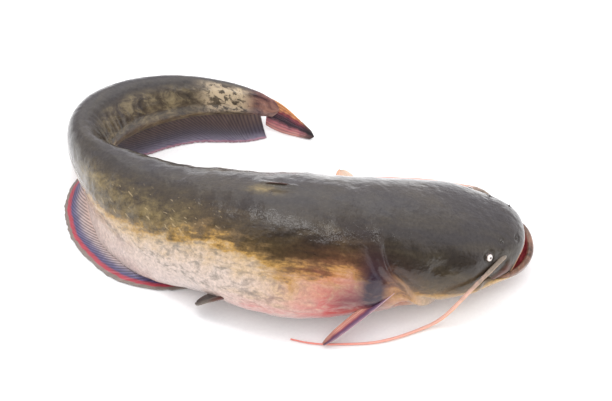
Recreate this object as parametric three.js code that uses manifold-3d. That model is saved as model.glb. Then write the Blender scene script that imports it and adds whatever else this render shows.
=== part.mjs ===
// A whole wels catfish (Silurus glanis), lying on its belly with its tail curled round to its left.
// Millimetres and degrees, +Z up, the table at Z = 0, the head towards +X. The origin is the centre of
// the fish's footprint. A place on the fish is given by its station, which is the distance along the
// spine from the upper lip in percent of the body length, and by the angle round the body: 0 at its
// left side, 90 along the back, 180 at its right side and 270 along the belly.
import * as THREE from "three";
import { mergeVertices } from "three/addons/utils/BufferGeometryUtils.js";
import Module from "manifold-3d";

const wasm = await Module();
wasm.setup();

// ---------- driving dimensions ----------
const BODY_LENGTH = 720; // upper lip to tail fin root, along the spine
const TRUNK_HALF_WIDTH = 72;
const TRUNK_RISE = 67; // from the widest level up to the back
const TRUNK_DROP = 59; // from the widest level down to the belly

const GAP = 0.35; // between a piece and the body that it grows from

const EYE_RADIUS = 4.6;
const EYE_SHARE = 0.6; // how far back it is from the lip to the end of the snout
const EYE_ANGLE = 35; // above the side of the head
const EYE_BULGE = 2.2;

const MOUTH_DEPTH = 40; // upper lip back to the corners
const MOUTH_HALF_WIDTH = 43;
const JAW_REACH = 8; // the lower jaw's lead over the upper one
const CORNER_HEIGHT = 23;
const UPPER_LIP_HEIGHT = 45;
const LOWER_LIP_HEIGHT = 27;
const LIP_THICKNESS = 6;
const THROAT_STATION = 11;

const FIN_THICKNESS = 2.4; // at the root
const FIN_EDGE_THICKNESS = 1.2;
const FIN_FLOOR = 1.3; // height of the middle of a fin that lies on the table
const FIN_ROOT_SINK = 6; // how far a fin's rays start under the skin, before the body is cut away

const ANAL_FIN_FROM = 43;
const ANAL_FIN_TO = 98.2;

const TAIL_FIN_LENGTH = 47;
const TAIL_FIN_HALF_HEIGHT = 15;
const TAIL_FIN_TIP_HALF_HEIGHT = 4;

const DORSAL_FIN_STATION = 30.5;
const DORSAL_FIN_ROOT = 16;
const DORSAL_FIN_LENGTH = 40;
const DORSAL_FIN_HEIGHT = 5;

const PECTORAL_STATION = 20.5;
const PECTORAL_LENGTH = 78;
const PECTORAL_WIDTH = 13;
const PECTORAL_DROP = 6; // angle of its root below the side of the body
const RIGHT_PECTORAL_SWEEP = 12; // how far it stands out from the flank
const LEFT_PECTORAL_SWEEP = 88;
const LEFT_PECTORAL_REST = 11; // its tip stands off the table

const PELVIC_STATION = 38;
const PELVIC_LENGTH = 34;
const PELVIC_WIDTH = 19;
const PELVIC_DROP = 46;
const PELVIC_SWEEP = 3;

const WHISKER_ROOT_RADIUS = 3;
const WHISKER_TIP_RADIUS = 0.8;
const CHIN_BARBEL_LENGTHS = { front: 30, rear: 42 };
const CHIN_BARBEL_RADIUS = 1.1;
const CHIN_BARBEL_TIP_RADIUS = 0.7;
const CHIN_BARBEL_ROOTS = { front: [2.2, 9], rear: [3.6, 20] }; // station, mm off the centre line

// ---------- facets ----------
const RING_SIDES = 32;
const BODY_RINGS = 58;
const HEAD_RINGS = 8;
const FIN_ROWS = 4;
const BARBEL_SIDES = 8;

// Heading of the spine, tail to head, anticlockwise from +X: [station, degrees].
const HEADING = [
  [0, 4], [8, 8.5], [16.5, 11.5], [23.5, 8], [30.5, -4.5], [37.5, -20], [44.5, -25], [51.5, -33.5],
  [58.5, -45.5], [65.5, -64], [71.5, -112], [78, -148], [85, -163.5], [92, -180.5], [103, -201], [112, -209],
];

// Cross-sections: [station, half width, rise above and drop below the widest level, each in percent of
// the trunk's, lift of the belly off the table in mm, lean of the back to the fish's left in degrees].
const SECTIONS = [
  [0, 42, 21, 34, 14, 0],
  [2, 66, 38, 48, 9, 0],
  [6, 81, 56, 56, 4, 0],
  [13, 90, 76, 74, -1, 2],
  [21, 96, 91, 88, -3, 7],
  [30.5, 100, 96, 100, -3, 12],
  [40, 87, 94, 88, -2, 14],
  [48.5, 70, 81.5, 79, -1, 13],
  [57, 51, 70.5, 70, 1, 9],
  [65.5, 28, 65, 53, 6, -6],
  [75, 34, 54, 45, 13, -20],
  [83, 26.5, 47, 36, 16, -25],
  [92, 19, 32.5, 27, 17.5, -26],
  [100, 10, 20, 17, 17.5, -22],
];
// Squareness of the section's lower half, from a flat belly to the keel of the tail: [station, power].
const BELLY_POWER = [[0, 2.4], [24, 2.6], [30.5, 3.2], [40, 2.7], [48, 2.3], [53, 1.8], [65, 1.6], [100, 1.7]];
// Squareness of its upper half, from the flat head to the round back: [station, power].
const BACK_POWER = [[0, 2.6], [8, 2.5], [16, 2.2], [24, 2.05], [100, 2.05]];
// How far the fin that lies out to the right pulls the keel after it: [station, mm to the fish's left].
const KEEL_PULL = [
  [0, 0], [38, 0], [42, -8], [46, -22], [50, -31], [54, -32], [58, -28], [62, -18], [66, -8], [70, 0], [100, 0],
];

// The anal fin's edge, which lies out to the fish's right along the trunk, crosses under the bend and
// comes out on its left along the tail: [station, mm to the left of the spine].
const ANAL_FIN_EDGE = [
  [43, -37], [44.7, -47], [47.7, -58.5], [50.5, -64.5], [53.5, -66], [56, -63], [60, -56], [62.2, -48],
  [64, -41], [65.8, -31], [68, -16], [71, 3], [73.5, 18], [76, 28], [79, 31], [83, 30], [88.6, 29.6],
  [92.2, 30.5], [95.6, 29], [98.2, 24],
];

// Whisker centrelines: [station, percent of the trunk's half width to the fish's left, height off the
// table in percent of the trunk's drop].
const RIGHT_WHISKER = [
  [2.1, -32, 72], [3.1, -50, 82], [4.4, -63, 84], [6.8, -80, 75], [9.3, -95, 64], [11.2, -102, 45],
  [12.7, -102.5, 24], [13.8, -102, 9], [15.6, -104, 3.6], [18.9, -112, 2.8], [22.2, -116.5, 2.2],
  [25.4, -113.5, 1.7], [28.5, -111, 1.1], [30.6, -104, 1],
];
const LEFT_WHISKER = [
  [2.1, 32, 72], [3, 50, 82], [3.8, 68, 80], [4.6, 90, 66], [5.4, 112, 46], [6.2, 134, 26], [7, 151, 11],
  [8.2, 163, 4], [10, 170, 3], [12.5, 178, 2.2], [15.5, 187, 1.6], [18, 190, 1.2], [20, 188, 1],
];

// ---------- curves ----------
// Smooth curve through a table's rows, read at a station.
function read(table, station, column = 1) {
  const last = table.length - 1;
  const x = THREE.MathUtils.clamp(station, table[0][0], table[last][0]);
  let i = 0;
  while (i < last - 1 && table[i + 1][0] <= x) i += 1;
  const slope = (k) => {
    const a = Math.max(k - 1, 0);
    const b = Math.min(k + 1, last);
    return (table[b][column] - table[a][column]) / (table[b][0] - table[a][0]);
  };
  const span = table[i + 1][0] - table[i][0];
  const t = (x - table[i][0]) / span;
  const from = table[i][column];
  const to = table[i + 1][column];
  return (
    (2 * t ** 3 - 3 * t ** 2 + 1) * from +
    (t ** 3 - 2 * t ** 2 + t) * span * slope(i) +
    (3 * t ** 2 - 2 * t ** 3) * to +
    (t ** 3 - t ** 2) * span * slope(i + 1)
  );
}

const mix = THREE.MathUtils.lerp;
const rad = THREE.MathUtils.degToRad;
const signedPower = (v, p) => Math.sign(v) * Math.abs(v) ** p;

// The spine in plan, walked from the upper lip towards the tail.
const SPINE_STEP = 0.25;
const SPINE_END = 110; // beyond the body, for the tail fin
const spine = [new THREE.Vector2(0, 0)];
for (let station = SPINE_STEP; station <= SPINE_END; station += SPINE_STEP) {
  const heading = rad(read(HEADING, station - SPINE_STEP / 2));
  const step = (SPINE_STEP / 100) * BODY_LENGTH;
  const previous = spine[spine.length - 1];
  spine.push(previous.clone().sub(new THREE.Vector2(Math.cos(heading), Math.sin(heading)).multiplyScalar(step)));
}

// The point at a station, `left` mm to the fish's left of its spine and at a height.
function place(station, left, height) {
  const heading = rad(read(HEADING, station));
  const i = THREE.MathUtils.clamp(station / SPINE_STEP, 0, spine.length - 1.001);
  const k = Math.floor(i);
  const at = spine[k].clone().lerp(spine[k + 1], i - k);
  const ahead = Math.max(-station, 0) * (BODY_LENGTH / 100);
  return new THREE.Vector3(
    at.x + ahead * Math.cos(heading) - left * Math.sin(heading),
    at.y + ahead * Math.sin(heading) + left * Math.cos(heading),
    height,
  );
}

// ---------- skin ----------
// Where the skin lies round a cross-section: its distance to the left of the spine and its height.
function sectionPoint(station, angle) {
  const c = Math.cos(rad(angle));
  const s = Math.sin(rad(angle));
  const power = read(s >= 0 ? BACK_POWER : BELLY_POWER, station);
  const halfWidth = (read(SECTIONS, station, 1) / 100) * TRUNK_HALF_WIDTH;
  const rise = (read(SECTIONS, station, 2) / 100) * TRUNK_RISE;
  const drop = (read(SECTIONS, station, 3) / 100) * TRUNK_DROP;
  const lean = rad(read(SECTIONS, station, 5));
  const across = halfWidth * signedPower(c, 2 / power);
  const up = (s >= 0 ? rise : drop) * signedPower(s, 2 / power);
  const height = drop + read(SECTIONS, station, 4) + up * Math.cos(lean) - across * Math.sin(lean);
  const pull = s < 0 ? read(KEEL_PULL, station) * Math.abs(s) ** 3 : 0;
  return [across * Math.cos(lean) + up * Math.sin(lean) + pull, Math.max(height, 0)];
}
const skinPoint = (station, angle) => place(station, ...sectionPoint(station, angle));

// The lips, as [station, mm to the left, height] round the mouth.
const CORNER_STATION = (MOUTH_DEPTH / BODY_LENGTH) * 100;
const HEAD_STATION = 8.5; // where the lips' outline has become a plain cross-section
const LIP_POWER = 0.86; // below 1 makes the snout blunt
function lipPoint(angle) {
  const c = Math.cos(rad(angle));
  const s = Math.sin(rad(angle));
  const forward = Math.abs(s) ** LIP_POWER;
  const reach = s < 0 ? (JAW_REACH / BODY_LENGTH) * 100 : 0;
  const rim = s < 0 ? LOWER_LIP_HEIGHT : UPPER_LIP_HEIGHT;
  return [
    CORNER_STATION - (CORNER_STATION + reach) * forward,
    MOUTH_HALF_WIDTH * signedPower(c, LIP_POWER),
    mix(CORNER_HEIGHT, rim, Math.abs(s) ** 0.8),
  ];
}

// The head between the lips, at share 0, and the plain cross-section, at share 1.
function headPoint(share, angle) {
  const [lipStation, lipLeft, lipHeight] = lipPoint(angle);
  const [left, height] = sectionPoint(HEAD_STATION, angle);
  const roll = Math.sqrt(1 - (1 - Math.min(share / 0.3, 1)) ** 2);
  const bluntness = Math.sin(rad(angle)) >= 0 ? 0.32 : 0.6;
  return place(
    mix(lipStation, HEAD_STATION, share),
    mix(lipLeft, left, share ** 0.8),
    mix(lipHeight, height, bluntness * roll + (1 - bluntness) * share),
  );
}

// The inside of the mouth: the rim of the lips, the cavity behind them and the throat.
const THROAT_HALF_WIDTH = 15;
const THROAT_HALF_HEIGHT = 6;
const THROAT_HEIGHT = 31;
function mouthRing(depth) {
  return (angle) => {
    const [station, left, height] = lipPoint(angle);
    const s = Math.sin(rad(angle));
    const inward = (LIP_THICKNESS * depth * 100) / BODY_LENGTH;
    const open = Math.sqrt(Math.abs(s)) * (depth - 1) * (s >= 0 ? 3.5 : -6);
    return place(station + inward * (0.4 + 0.6 * Math.abs(s)), left * (1 - 0.06 * depth), height + open);
  };
}
function throatRing(angle) {
  return place(
    THROAT_STATION - 1.5,
    THROAT_HALF_WIDTH * Math.cos(rad(angle)),
    THROAT_HEIGHT + THROAT_HALF_HEIGHT * Math.sin(rad(angle)),
  );
}

// ---------- solids ----------
// A closed skin over rings of points, with a point at each end.
function loft(rings, first, last) {
  const sides = rings[0].length;
  const points = [first, ...rings.flat(), last];
  const index = [];
  for (let j = 0; j < sides; j += 1) {
    const k = (j + 1) % sides;
    index.push(0, 1 + k, 1 + j);
    for (let i = 0; i + 1 < rings.length; i += 1) {
      const a = 1 + i * sides;
      const b = a + sides;
      index.push(a + j, a + k, b + j, a + k, b + k, b + j);
    }
    const end = 1 + (rings.length - 1) * sides;
    index.push(points.length - 1, end + j, end + k);
  }
  return new THREE.BufferGeometry().setFromPoints(points).setIndex(index);
}

// A thin closed blade over middle(u, v), thick at its root v = 0 and thin at its edge v = 1.
function blade(middle, columns, rows, rootThickness = FIN_THICKNESS) {
  const faces = [[], []];
  const normalAt = (u, v) => {
    const e = 0.01;
    const along = middle(Math.min(u + e, 1), v).sub(middle(Math.max(u - e, 0), v));
    const out = middle(u, Math.min(v + e, 1)).sub(middle(u, Math.max(v - e, 0)));
    return along.cross(out).normalize();
  };
  for (let i = 0; i <= columns; i += 1) {
    for (let j = 0; j <= rows; j += 1) {
      const [u, v] = [i / columns, j / rows];
      const half = mix(rootThickness, FIN_EDGE_THICKNESS, v) / 2;
      const normal = normalAt(u, v).multiplyScalar(half);
      faces[0].push(middle(u, v).add(normal));
      faces[1].push(middle(u, v).sub(normal));
    }
  }
  const points = faces.flat();
  const size = faces[0].length;
  const at = (side, i, j) => side * size + i * (rows + 1) + j;
  const index = [];
  const quad = (a, b, c, d) => index.push(a, b, c, a, c, d);
  for (let i = 0; i < columns; i += 1) {
    for (let j = 0; j < rows; j += 1) {
      quad(at(0, i, j), at(0, i + 1, j), at(0, i + 1, j + 1), at(0, i, j + 1));
      quad(at(1, i, j), at(1, i, j + 1), at(1, i + 1, j + 1), at(1, i + 1, j));
    }
    quad(at(0, i, 0), at(1, i, 0), at(1, i + 1, 0), at(0, i + 1, 0));
    quad(at(0, i, rows), at(0, i + 1, rows), at(1, i + 1, rows), at(1, i, rows));
  }
  for (let j = 0; j < rows; j += 1) {
    quad(at(0, 0, j), at(0, 0, j + 1), at(1, 0, j + 1), at(1, 0, j));
    quad(at(0, columns, j), at(1, columns, j), at(1, columns, j + 1), at(0, columns, j + 1));
  }
  return new THREE.BufferGeometry().setFromPoints(points).setIndex(index);
}

// A round barbel that tapers along a curve.
function barbel(curve, rootRadius, tipRadius, steps) {
  const rings = [];
  for (let i = 0; i <= steps; i += 1) {
    const at = curve.getPointAt(i / steps);
    const along = curve.getTangentAt(i / steps);
    const side = new THREE.Vector3(0, 0, 1).cross(along).normalize();
    const up = along.clone().cross(side);
    const radius = mix(rootRadius, tipRadius, (i / steps) ** 0.7);
    rings.push(
      Array.from({ length: BARBEL_SIDES }, (_, j) => {
        const turn = (j / BARBEL_SIDES) * 2 * Math.PI;
        const point = at.clone().addScaledVector(side, radius * Math.cos(turn));
        return point.addScaledVector(up, radius * Math.sin(turn));
      }),
    );
  }
  return loft(rings, curve.getPointAt(0), curve.getPointAt(1));
}

function toSolid(geometry) {
  const bare = geometry.clone();
  bare.deleteAttribute("normal");
  bare.deleteAttribute("uv");
  const merged = mergeVertices(bare, 1e-3);
  const solid = new wasm.Manifold(
    new wasm.Mesh({
      numProp: 3,
      vertProperties: merged.attributes.position.array,
      triVerts: new Uint32Array(merged.index.array),
    }),
  );
  return solid;
}

function toGeometry(solid) {
  const { vertProperties, triVerts } = solid.getMesh();
  return new THREE.BufferGeometry()
    .setAttribute("position", new THREE.BufferAttribute(vertProperties, 3))
    .setIndex(new THREE.BufferAttribute(triVerts, 1));
}

// What is left of a piece outside another, without loose slivers.
function outside(geometry, cutter) {
  const pieces = toSolid(geometry).subtract(cutter).decompose();
  return toGeometry(pieces.sort((a, b) => b.volume() - a.volume())[0]);
}

// ---------- the body ----------
function ringOf(pointAt) {
  return Array.from({ length: RING_SIDES }, (_, j) => pointAt(360 - (j / RING_SIDES) * 360));
}

function bodyGeometry() {
  const rings = [ringOf(throatRing), ringOf(mouthRing(3.2)), ringOf(mouthRing(1.8)), ringOf(mouthRing(0.8))];
  for (let i = 0; i <= HEAD_RINGS; i += 1) {
    rings.push(ringOf((angle) => headPoint((i / HEAD_RINGS) ** 1.6, angle)));
  }
  for (let i = 1; i <= BODY_RINGS; i += 1) {
    const station = mix(HEAD_STATION, 100, i / BODY_RINGS);
    rings.push(ringOf((angle) => skinPoint(station, angle)));
  }
  const root = place(100.6, ...sectionPoint(100, 90));
  const keel = place(100.6, ...sectionPoint(100, 270));
  const centre = root.lerp(keel, 0.5);
  rings.push(rings[rings.length - 1].map((p) => p.clone().lerp(centre, 0.35)));
  return loft(rings, place(THROAT_STATION, 0, THROAT_HEIGHT), centre);
}

// The same surface moved outwards a little, which cuts the pieces that grow from it.
function swollen(geometry, by) {
  const grown = mergeVertices(geometry, 1e-3);
  grown.computeVertexNormals();
  const { position, normal } = grown.attributes;
  for (let i = 0; i < position.count; i += 1) {
    position.setXYZ(
      i,
      position.getX(i) + normal.getX(i) * by,
      position.getY(i) + normal.getY(i) * by,
      position.getZ(i) + normal.getZ(i) * by,
    );
  }
  return grown;
}

// ---------- eyes ----------
function eyeCentre(angle) {
  const back = headPoint(EYE_SHARE + 0.05, angle).sub(headPoint(EYE_SHARE - 0.05, angle));
  const round = headPoint(EYE_SHARE, angle + 2).sub(headPoint(EYE_SHARE, angle - 2));
  const outward = back.cross(round).normalize();
  return headPoint(EYE_SHARE, angle).addScaledVector(outward, EYE_BULGE - EYE_RADIUS);
}
const EYE_ANGLES = { left: EYE_ANGLE, right: 180 - EYE_ANGLE };
function ball(centre, radius) {
  return new THREE.SphereGeometry(radius, 20, 14).translate(centre.x, centre.y, centre.z);
}

// ---------- fins ----------
// The anal fin: a long ribbon along the keel, laid flat on the table to one side or the other.
function analFin() {
  return blade((u, v) => {
    const station = mix(ANAL_FIN_FROM, ANAL_FIN_TO, u);
    const [rootLeft, keel] = sectionPoint(station, 270);
    const left = mix(rootLeft, read(ANAL_FIN_EDGE, station), v);
    return place(station, left, mix(FIN_FLOOR, keel + 4, (1 - v) ** 1.7));
  }, 60, FIN_ROWS);
}

// The tail fin: closed like a brush, narrowing from the tail's end down to the table.
function tailFin() {
  const [topLeft, top] = sectionPoint(100, 90);
  const [keelLeft, keel] = sectionPoint(100, 270);
  return blade((u, v) => {
    const station = 99 + (v * (TAIL_FIN_LENGTH + 7) * 100) / BODY_LENGTH;
    const half = mix(TAIL_FIN_HALF_HEIGHT, TAIL_FIN_TIP_HALF_HEIGHT, v) * (1 + 0.5 * Math.sin(Math.PI * v));
    const across = 2 * u - 1;
    const middle = mix((top + keel) / 2, TAIL_FIN_TIP_HALF_HEIGHT + FIN_FLOOR, v ** 0.9);
    const height = Math.max(middle + across * half, FIN_FLOOR);
    const left = (topLeft + keelLeft) / 2 + across * ((topLeft - keelLeft) / 2);
    return place(station, left, height);
  }, 8, 10);
}

// The dorsal fin: small, folded back along the ridge.
function dorsalFin() {
  return blade((u, v) => {
    const back = DORSAL_FIN_ROOT * u * (1 - v) + mix(DORSAL_FIN_LENGTH * 0.72, DORSAL_FIN_LENGTH, u) * v;
    const station = DORSAL_FIN_STATION + (back / BODY_LENGTH) * 100;
    const [left, height] = sectionPoint(station, 90);
    const rise = -2 + (DORSAL_FIN_HEIGHT + 2) * Math.sin(v * Math.PI * 0.62) * mix(1, 0.55, u);
    return place(station, left - 2 * v, height + rise);
  }, 6, 8);
}

// A fan of rays folded into a narrow paddle, from a root under the skin to a tip.
function paddle(root, tip, width, sideways) {
  const along = tip.clone().sub(root);
  return blade((u, v) => {
    const open = width * (0.42 + 0.58 * Math.sin(Math.PI * Math.min(0.18 + 0.66 * v, 1)));
    const end = v > 0.8 ? Math.sqrt(Math.max(1 - ((v - 0.8) / 0.2) ** 2 * 0.75, 0)) : 1;
    const point = root.clone().addScaledVector(along, v);
    point.addScaledVector(sideways, (u - 0.5) * open * end);
    point.z = Math.max(point.z, FIN_FLOOR);
    return point;
  }, 6, 14);
}

// A fin that reaches back from its root on the flank, and out from it by the sweep, down to its rest.
function pairedFin(station, angle, sweep, length, width, rest = FIN_FLOOR) {
  const side = Math.sign(Math.cos(rad(angle)));
  const root = skinPoint(station, angle);
  const outward = place(station, side, 0).sub(place(station, 0, 0));
  const backward = place(station + 1, 0, 0).sub(place(station, 0, 0)).normalize();
  const drop = root.z - rest;
  const level = Math.sqrt(length ** 2 - drop ** 2);
  const reach = outward.multiplyScalar(Math.sin(rad(sweep))).addScaledVector(backward, Math.cos(rad(sweep)));
  const tip = root.clone().addScaledVector(reach, level);
  tip.z = rest;
  const sideways = new THREE.Vector3(0, 0, 1).cross(reach).multiplyScalar(side);
  root.lerp(tip, -FIN_ROOT_SINK / length);
  return paddle(root, tip, width, sideways);
}

// ---------- barbels ----------
function whisker(points) {
  const centres = points.map(([station, across, up]) =>
    place(station, (across / 100) * TRUNK_HALF_WIDTH, WHISKER_TIP_RADIUS + (up / 100) * TRUNK_DROP),
  );
  return barbel(new THREE.CatmullRomCurve3(centres), WHISKER_ROOT_RADIUS, WHISKER_TIP_RADIUS, 44);
}

// The height at which the right pectoral fin's tip lies across the whisker.
function restOnRightWhisker() {
  const station = PECTORAL_STATION + (PECTORAL_LENGTH * 100) / BODY_LENGTH;
  const centre = WHISKER_TIP_RADIUS + (read(RIGHT_WHISKER, station, 2) / 100) * TRUNK_DROP;
  return centre + (WHISKER_ROOT_RADIUS + WHISKER_TIP_RADIUS) / 2 + GAP + FIN_EDGE_THICKNESS;
}

// A short barbel under the chin, hanging from inside the jaw to the table and trailing back on it.
function chinBarbel(station, left, length) {
  const side = Math.sign(left);
  const floor = CHIN_BARBEL_RADIUS + 0.2;
  const behind = (share) => station + (share * length * 100) / BODY_LENGTH;
  return barbel(
    new THREE.CatmullRomCurve3([
      place(station, left, LOWER_LIP_HEIGHT - 2 * LIP_THICKNESS),
      place(behind(0.1), left, 5),
      place(behind(0.3), left + side, floor + 0.6),
      place(behind(0.62), left + 4 * side, floor),
      place(behind(1), left + 10 * side, floor),
    ]),
    CHIN_BARBEL_RADIUS,
    CHIN_BARBEL_TIP_RADIUS,
    12,
  );
}

// ---------- assembly ----------
const COLOURS = {
  skin: 0x4a463c,
  eye: 0xd8d4c8,
  fin: 0x6b5560,
  barbel: 0xd89878,
};
const material = (name, roughness) =>
  new THREE.MeshStandardMaterial({ color: COLOURS[name], roughness, metalness: 0 });
const skinMaterial = material("skin", 0.3);
const eyeMaterial = material("eye", 0.1);
const finMaterial = material("fin", 0.4);
const barbelMaterial = material("barbel", 0.4);

const fish = new THREE.Group();
function add(name, geometry, look) {
  const mesh = new THREE.Mesh(geometry, look);
  mesh.name = name;
  fish.add(mesh);
}

const bodyShape = bodyGeometry();
const cutter = toSolid(swollen(bodyShape, GAP));
const leftSocket = toSolid(ball(eyeCentre(EYE_ANGLES.left), EYE_RADIUS + GAP));
const rightSocket = toSolid(ball(eyeCentre(EYE_ANGLES.right), EYE_RADIUS + GAP));
add("body", toGeometry(toSolid(bodyShape).subtract(leftSocket).subtract(rightSocket)), skinMaterial);
add("eye_left", ball(eyeCentre(EYE_ANGLES.left), EYE_RADIUS), eyeMaterial);
add("eye_right", ball(eyeCentre(EYE_ANGLES.right), EYE_RADIUS), eyeMaterial);
add("anal_fin", outside(analFin(), cutter), finMaterial);
add("tail_fin", outside(tailFin(), cutter), finMaterial);
add("dorsal_fin", outside(dorsalFin(), cutter), finMaterial);
const pectoral = (angle, sweep, rest) =>
  pairedFin(PECTORAL_STATION, angle, sweep, PECTORAL_LENGTH, PECTORAL_WIDTH, rest);
const leftPectoral = pectoral(-PECTORAL_DROP, LEFT_PECTORAL_SWEEP, LEFT_PECTORAL_REST);
const rightPectoral = pectoral(180 + PECTORAL_DROP, RIGHT_PECTORAL_SWEEP, restOnRightWhisker());
const pelvic = (angle) => pairedFin(PELVIC_STATION, angle, PELVIC_SWEEP, PELVIC_LENGTH, PELVIC_WIDTH);
add("pectoral_fin_left", outside(leftPectoral, cutter), finMaterial);
add("pectoral_fin_right", outside(rightPectoral, cutter), finMaterial);
add("pelvic_fin_left", outside(pelvic(-PELVIC_DROP), cutter), finMaterial);
add("pelvic_fin_right", outside(pelvic(180 + PELVIC_DROP), cutter), finMaterial);
add("whisker_left", outside(whisker(LEFT_WHISKER), cutter), barbelMaterial);
add("whisker_right", outside(whisker(RIGHT_WHISKER), cutter), barbelMaterial);
for (const [row, length] of Object.entries(CHIN_BARBEL_LENGTHS)) {
  const [station, left] = CHIN_BARBEL_ROOTS[row];
  add(`chin_barbel_${row}_left`, outside(chinBarbel(station, left, length), cutter), barbelMaterial);
  add(`chin_barbel_${row}_right`, outside(chinBarbel(station, -left, length), cutter), barbelMaterial);
}

// The origin is the middle of the footprint, on the table.
const box = new THREE.Box3().setFromObject(fish);
const middle = box.getCenter(new THREE.Vector3());
for (const mesh of fish.children) mesh.position.set(-middle.x, -middle.y, -box.min.z);

export default fish;
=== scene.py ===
"""A whole wels catfish lying on its belly with its tail curled round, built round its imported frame.

Lengths are in metres, unless a name or comment says millimetres or percent. A place on the fish is given
by its station, the distance along the spine from the upper lip in percent of the body's length, and by the
angle round the body: 0 at its left side, 90 along the back, 180 at its right side, 270 along the belly.
"""

import math

import bpy
import numpy as np
from mathutils import Matrix, Vector


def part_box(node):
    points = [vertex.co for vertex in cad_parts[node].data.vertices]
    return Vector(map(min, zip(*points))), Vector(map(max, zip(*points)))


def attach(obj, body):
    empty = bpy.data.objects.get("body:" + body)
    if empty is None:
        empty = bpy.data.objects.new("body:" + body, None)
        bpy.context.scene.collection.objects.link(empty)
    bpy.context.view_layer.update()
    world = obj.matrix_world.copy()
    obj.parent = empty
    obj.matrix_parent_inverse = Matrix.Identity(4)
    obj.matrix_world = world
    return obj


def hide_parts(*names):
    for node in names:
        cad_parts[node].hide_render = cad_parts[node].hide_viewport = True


bl_info = {
    "name": "Catfish",
    "version": (1, 0, 0),
    "blender": (4, 5, 0),
    "location": "3D View > Sidebar > Catfish",
    "description": "Models a wels catfish with wet skin, folded fins and whiskers round its frame",
    "category": "Object",
}

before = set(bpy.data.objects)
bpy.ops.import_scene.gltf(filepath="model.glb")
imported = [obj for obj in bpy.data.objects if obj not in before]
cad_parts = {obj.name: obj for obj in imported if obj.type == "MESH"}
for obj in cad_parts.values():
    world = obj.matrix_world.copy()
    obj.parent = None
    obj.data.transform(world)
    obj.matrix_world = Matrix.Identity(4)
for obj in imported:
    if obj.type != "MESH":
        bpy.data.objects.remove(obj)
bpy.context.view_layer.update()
MM = 0.001


def linear(code):
    """The linear colour of an sRGB hex code such as 3a2f25."""
    parts = [int(code[i : i + 2], 16) / 255 for i in (0, 2, 4)]
    return [p / 12.92 if p <= 0.04045 else ((p + 0.055) / 1.055) ** 2.4 for p in parts]


# ---------- the fish's form ----------
BODY_LENGTH = 720 * MM
TRUNK_HALF_WIDTH = 72 * MM
TRUNK_RISE = 67 * MM
TRUNK_DROP = 59 * MM

# Heading of the spine, tail to head, anticlockwise from +X: station, degrees.
HEADING = [
    (0, 4), (8, 8.5), (16.5, 11.5), (23.5, 8), (30.5, -4.5), (37.5, -20), (44.5, -25), (51.5, -33.5),
    (58.5, -45.5), (65.5, -64), (71.5, -112), (78, -148), (85, -163.5), (92, -180.5), (103, -201),
    (112, -209),
]
# Station, half width, rise and drop from the widest level in percent of the trunk's, lift of the belly in
# millimetres, lean of the back to the fish's left in degrees.
SECTIONS = [
    (0, 42, 21, 34, 14, 0),
    (2, 66, 38, 48, 9, 0),
    (6, 81, 56, 56, 4, 0),
    (13, 90, 76, 74, -1, 2),
    (21, 96, 91, 88, -3, 7),
    (30.5, 100, 96, 100, -3, 12),
    (40, 87, 94, 88, -2, 14),
    (48.5, 70, 81.5, 79, -1, 13),
    (57, 51, 70.5, 70, 1, 9),
    (65.5, 28, 65, 53, 6, -6),
    (75, 34, 54, 45, 13, -20),
    (83, 26.5, 47, 36, 16, -25),
    (92, 19, 32.5, 27, 17.5, -26),
    (100, 10, 20, 17, 17.5, -22),
]
# Squareness of a section's lower and upper half: station, power.
BELLY_POWER = [(0, 2.4), (24, 2.6), (30.5, 3.2), (40, 2.7), (48, 2.3), (53, 1.8), (65, 1.6), (100, 1.7)]
BACK_POWER = [(0, 2.6), (8, 2.5), (16, 2.2), (24, 2.05), (100, 2.05)]
# How far the fin that lies out to the right pulls the keel after it: station, millimetres to the left.
KEEL_PULL = [
    (0, 0), (38, 0), (42, -8), (46, -22), (50, -31), (54, -32), (58, -28), (62, -18), (66, -8), (70, 0),
    (100, 0),
]


def read(table, at, column=1):
    """The smooth curve through a table's rows, read at one or many stations."""
    rows = np.asarray(table, float)
    x, y = rows[:, 0], rows[:, column]
    slope = np.gradient(y, x, edge_order=1)
    slope[1:-1] = (y[2:] - y[:-2]) / (x[2:] - x[:-2])
    at = np.clip(at, x[0], x[-1])
    i = np.clip(np.searchsorted(x, at, side="right") - 1, 0, len(x) - 2)
    span = x[i + 1] - x[i]
    t = (at - x[i]) / span
    ease = t * t * (3 - 2 * t)
    bend = t * (1 - t) * span * ((1 - t) * slope[i] - t * slope[i + 1])
    return y[i] * (1 - ease) + y[i + 1] * ease + bend


def mix(a, b, share):
    return a + (b - a) * share


def smooth(low, high, value):
    """0 below low, 1 above high and a soft step between them."""
    t = np.clip((np.asarray(value, float) - low) / (high - low), 0, 1)
    return t * t * (3 - 2 * t)


def between(value, rise_from, rise_to, fall_from, fall_to):
    """0, then 1 from rise_to up to fall_from, then 0 again, with soft steps between them."""
    return smooth(rise_from, rise_to, value) * (1 - smooth(fall_from, fall_to, value))


def signed_power(value, power):
    return np.sign(value) * np.abs(value) ** power


def near(value, centre, width):
    """A soft bump round a centre."""
    return np.exp(-(((np.asarray(value, float) - centre) / width) ** 2))


SPINE_STATIONS = np.arange(0, 110.01, 0.25)


def spine():
    """The spine's plan, walked from the upper lip towards the tail."""
    heading = np.radians(read(HEADING, SPINE_STATIONS[1:] - 0.125))
    step = 0.0025 * BODY_LENGTH
    x = np.concatenate([[0], -np.cumsum(np.cos(heading)) * step])
    y = np.concatenate([[0], -np.cumsum(np.sin(heading)) * step])
    return x, y


SPINE_X, SPINE_Y = spine()


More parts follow.
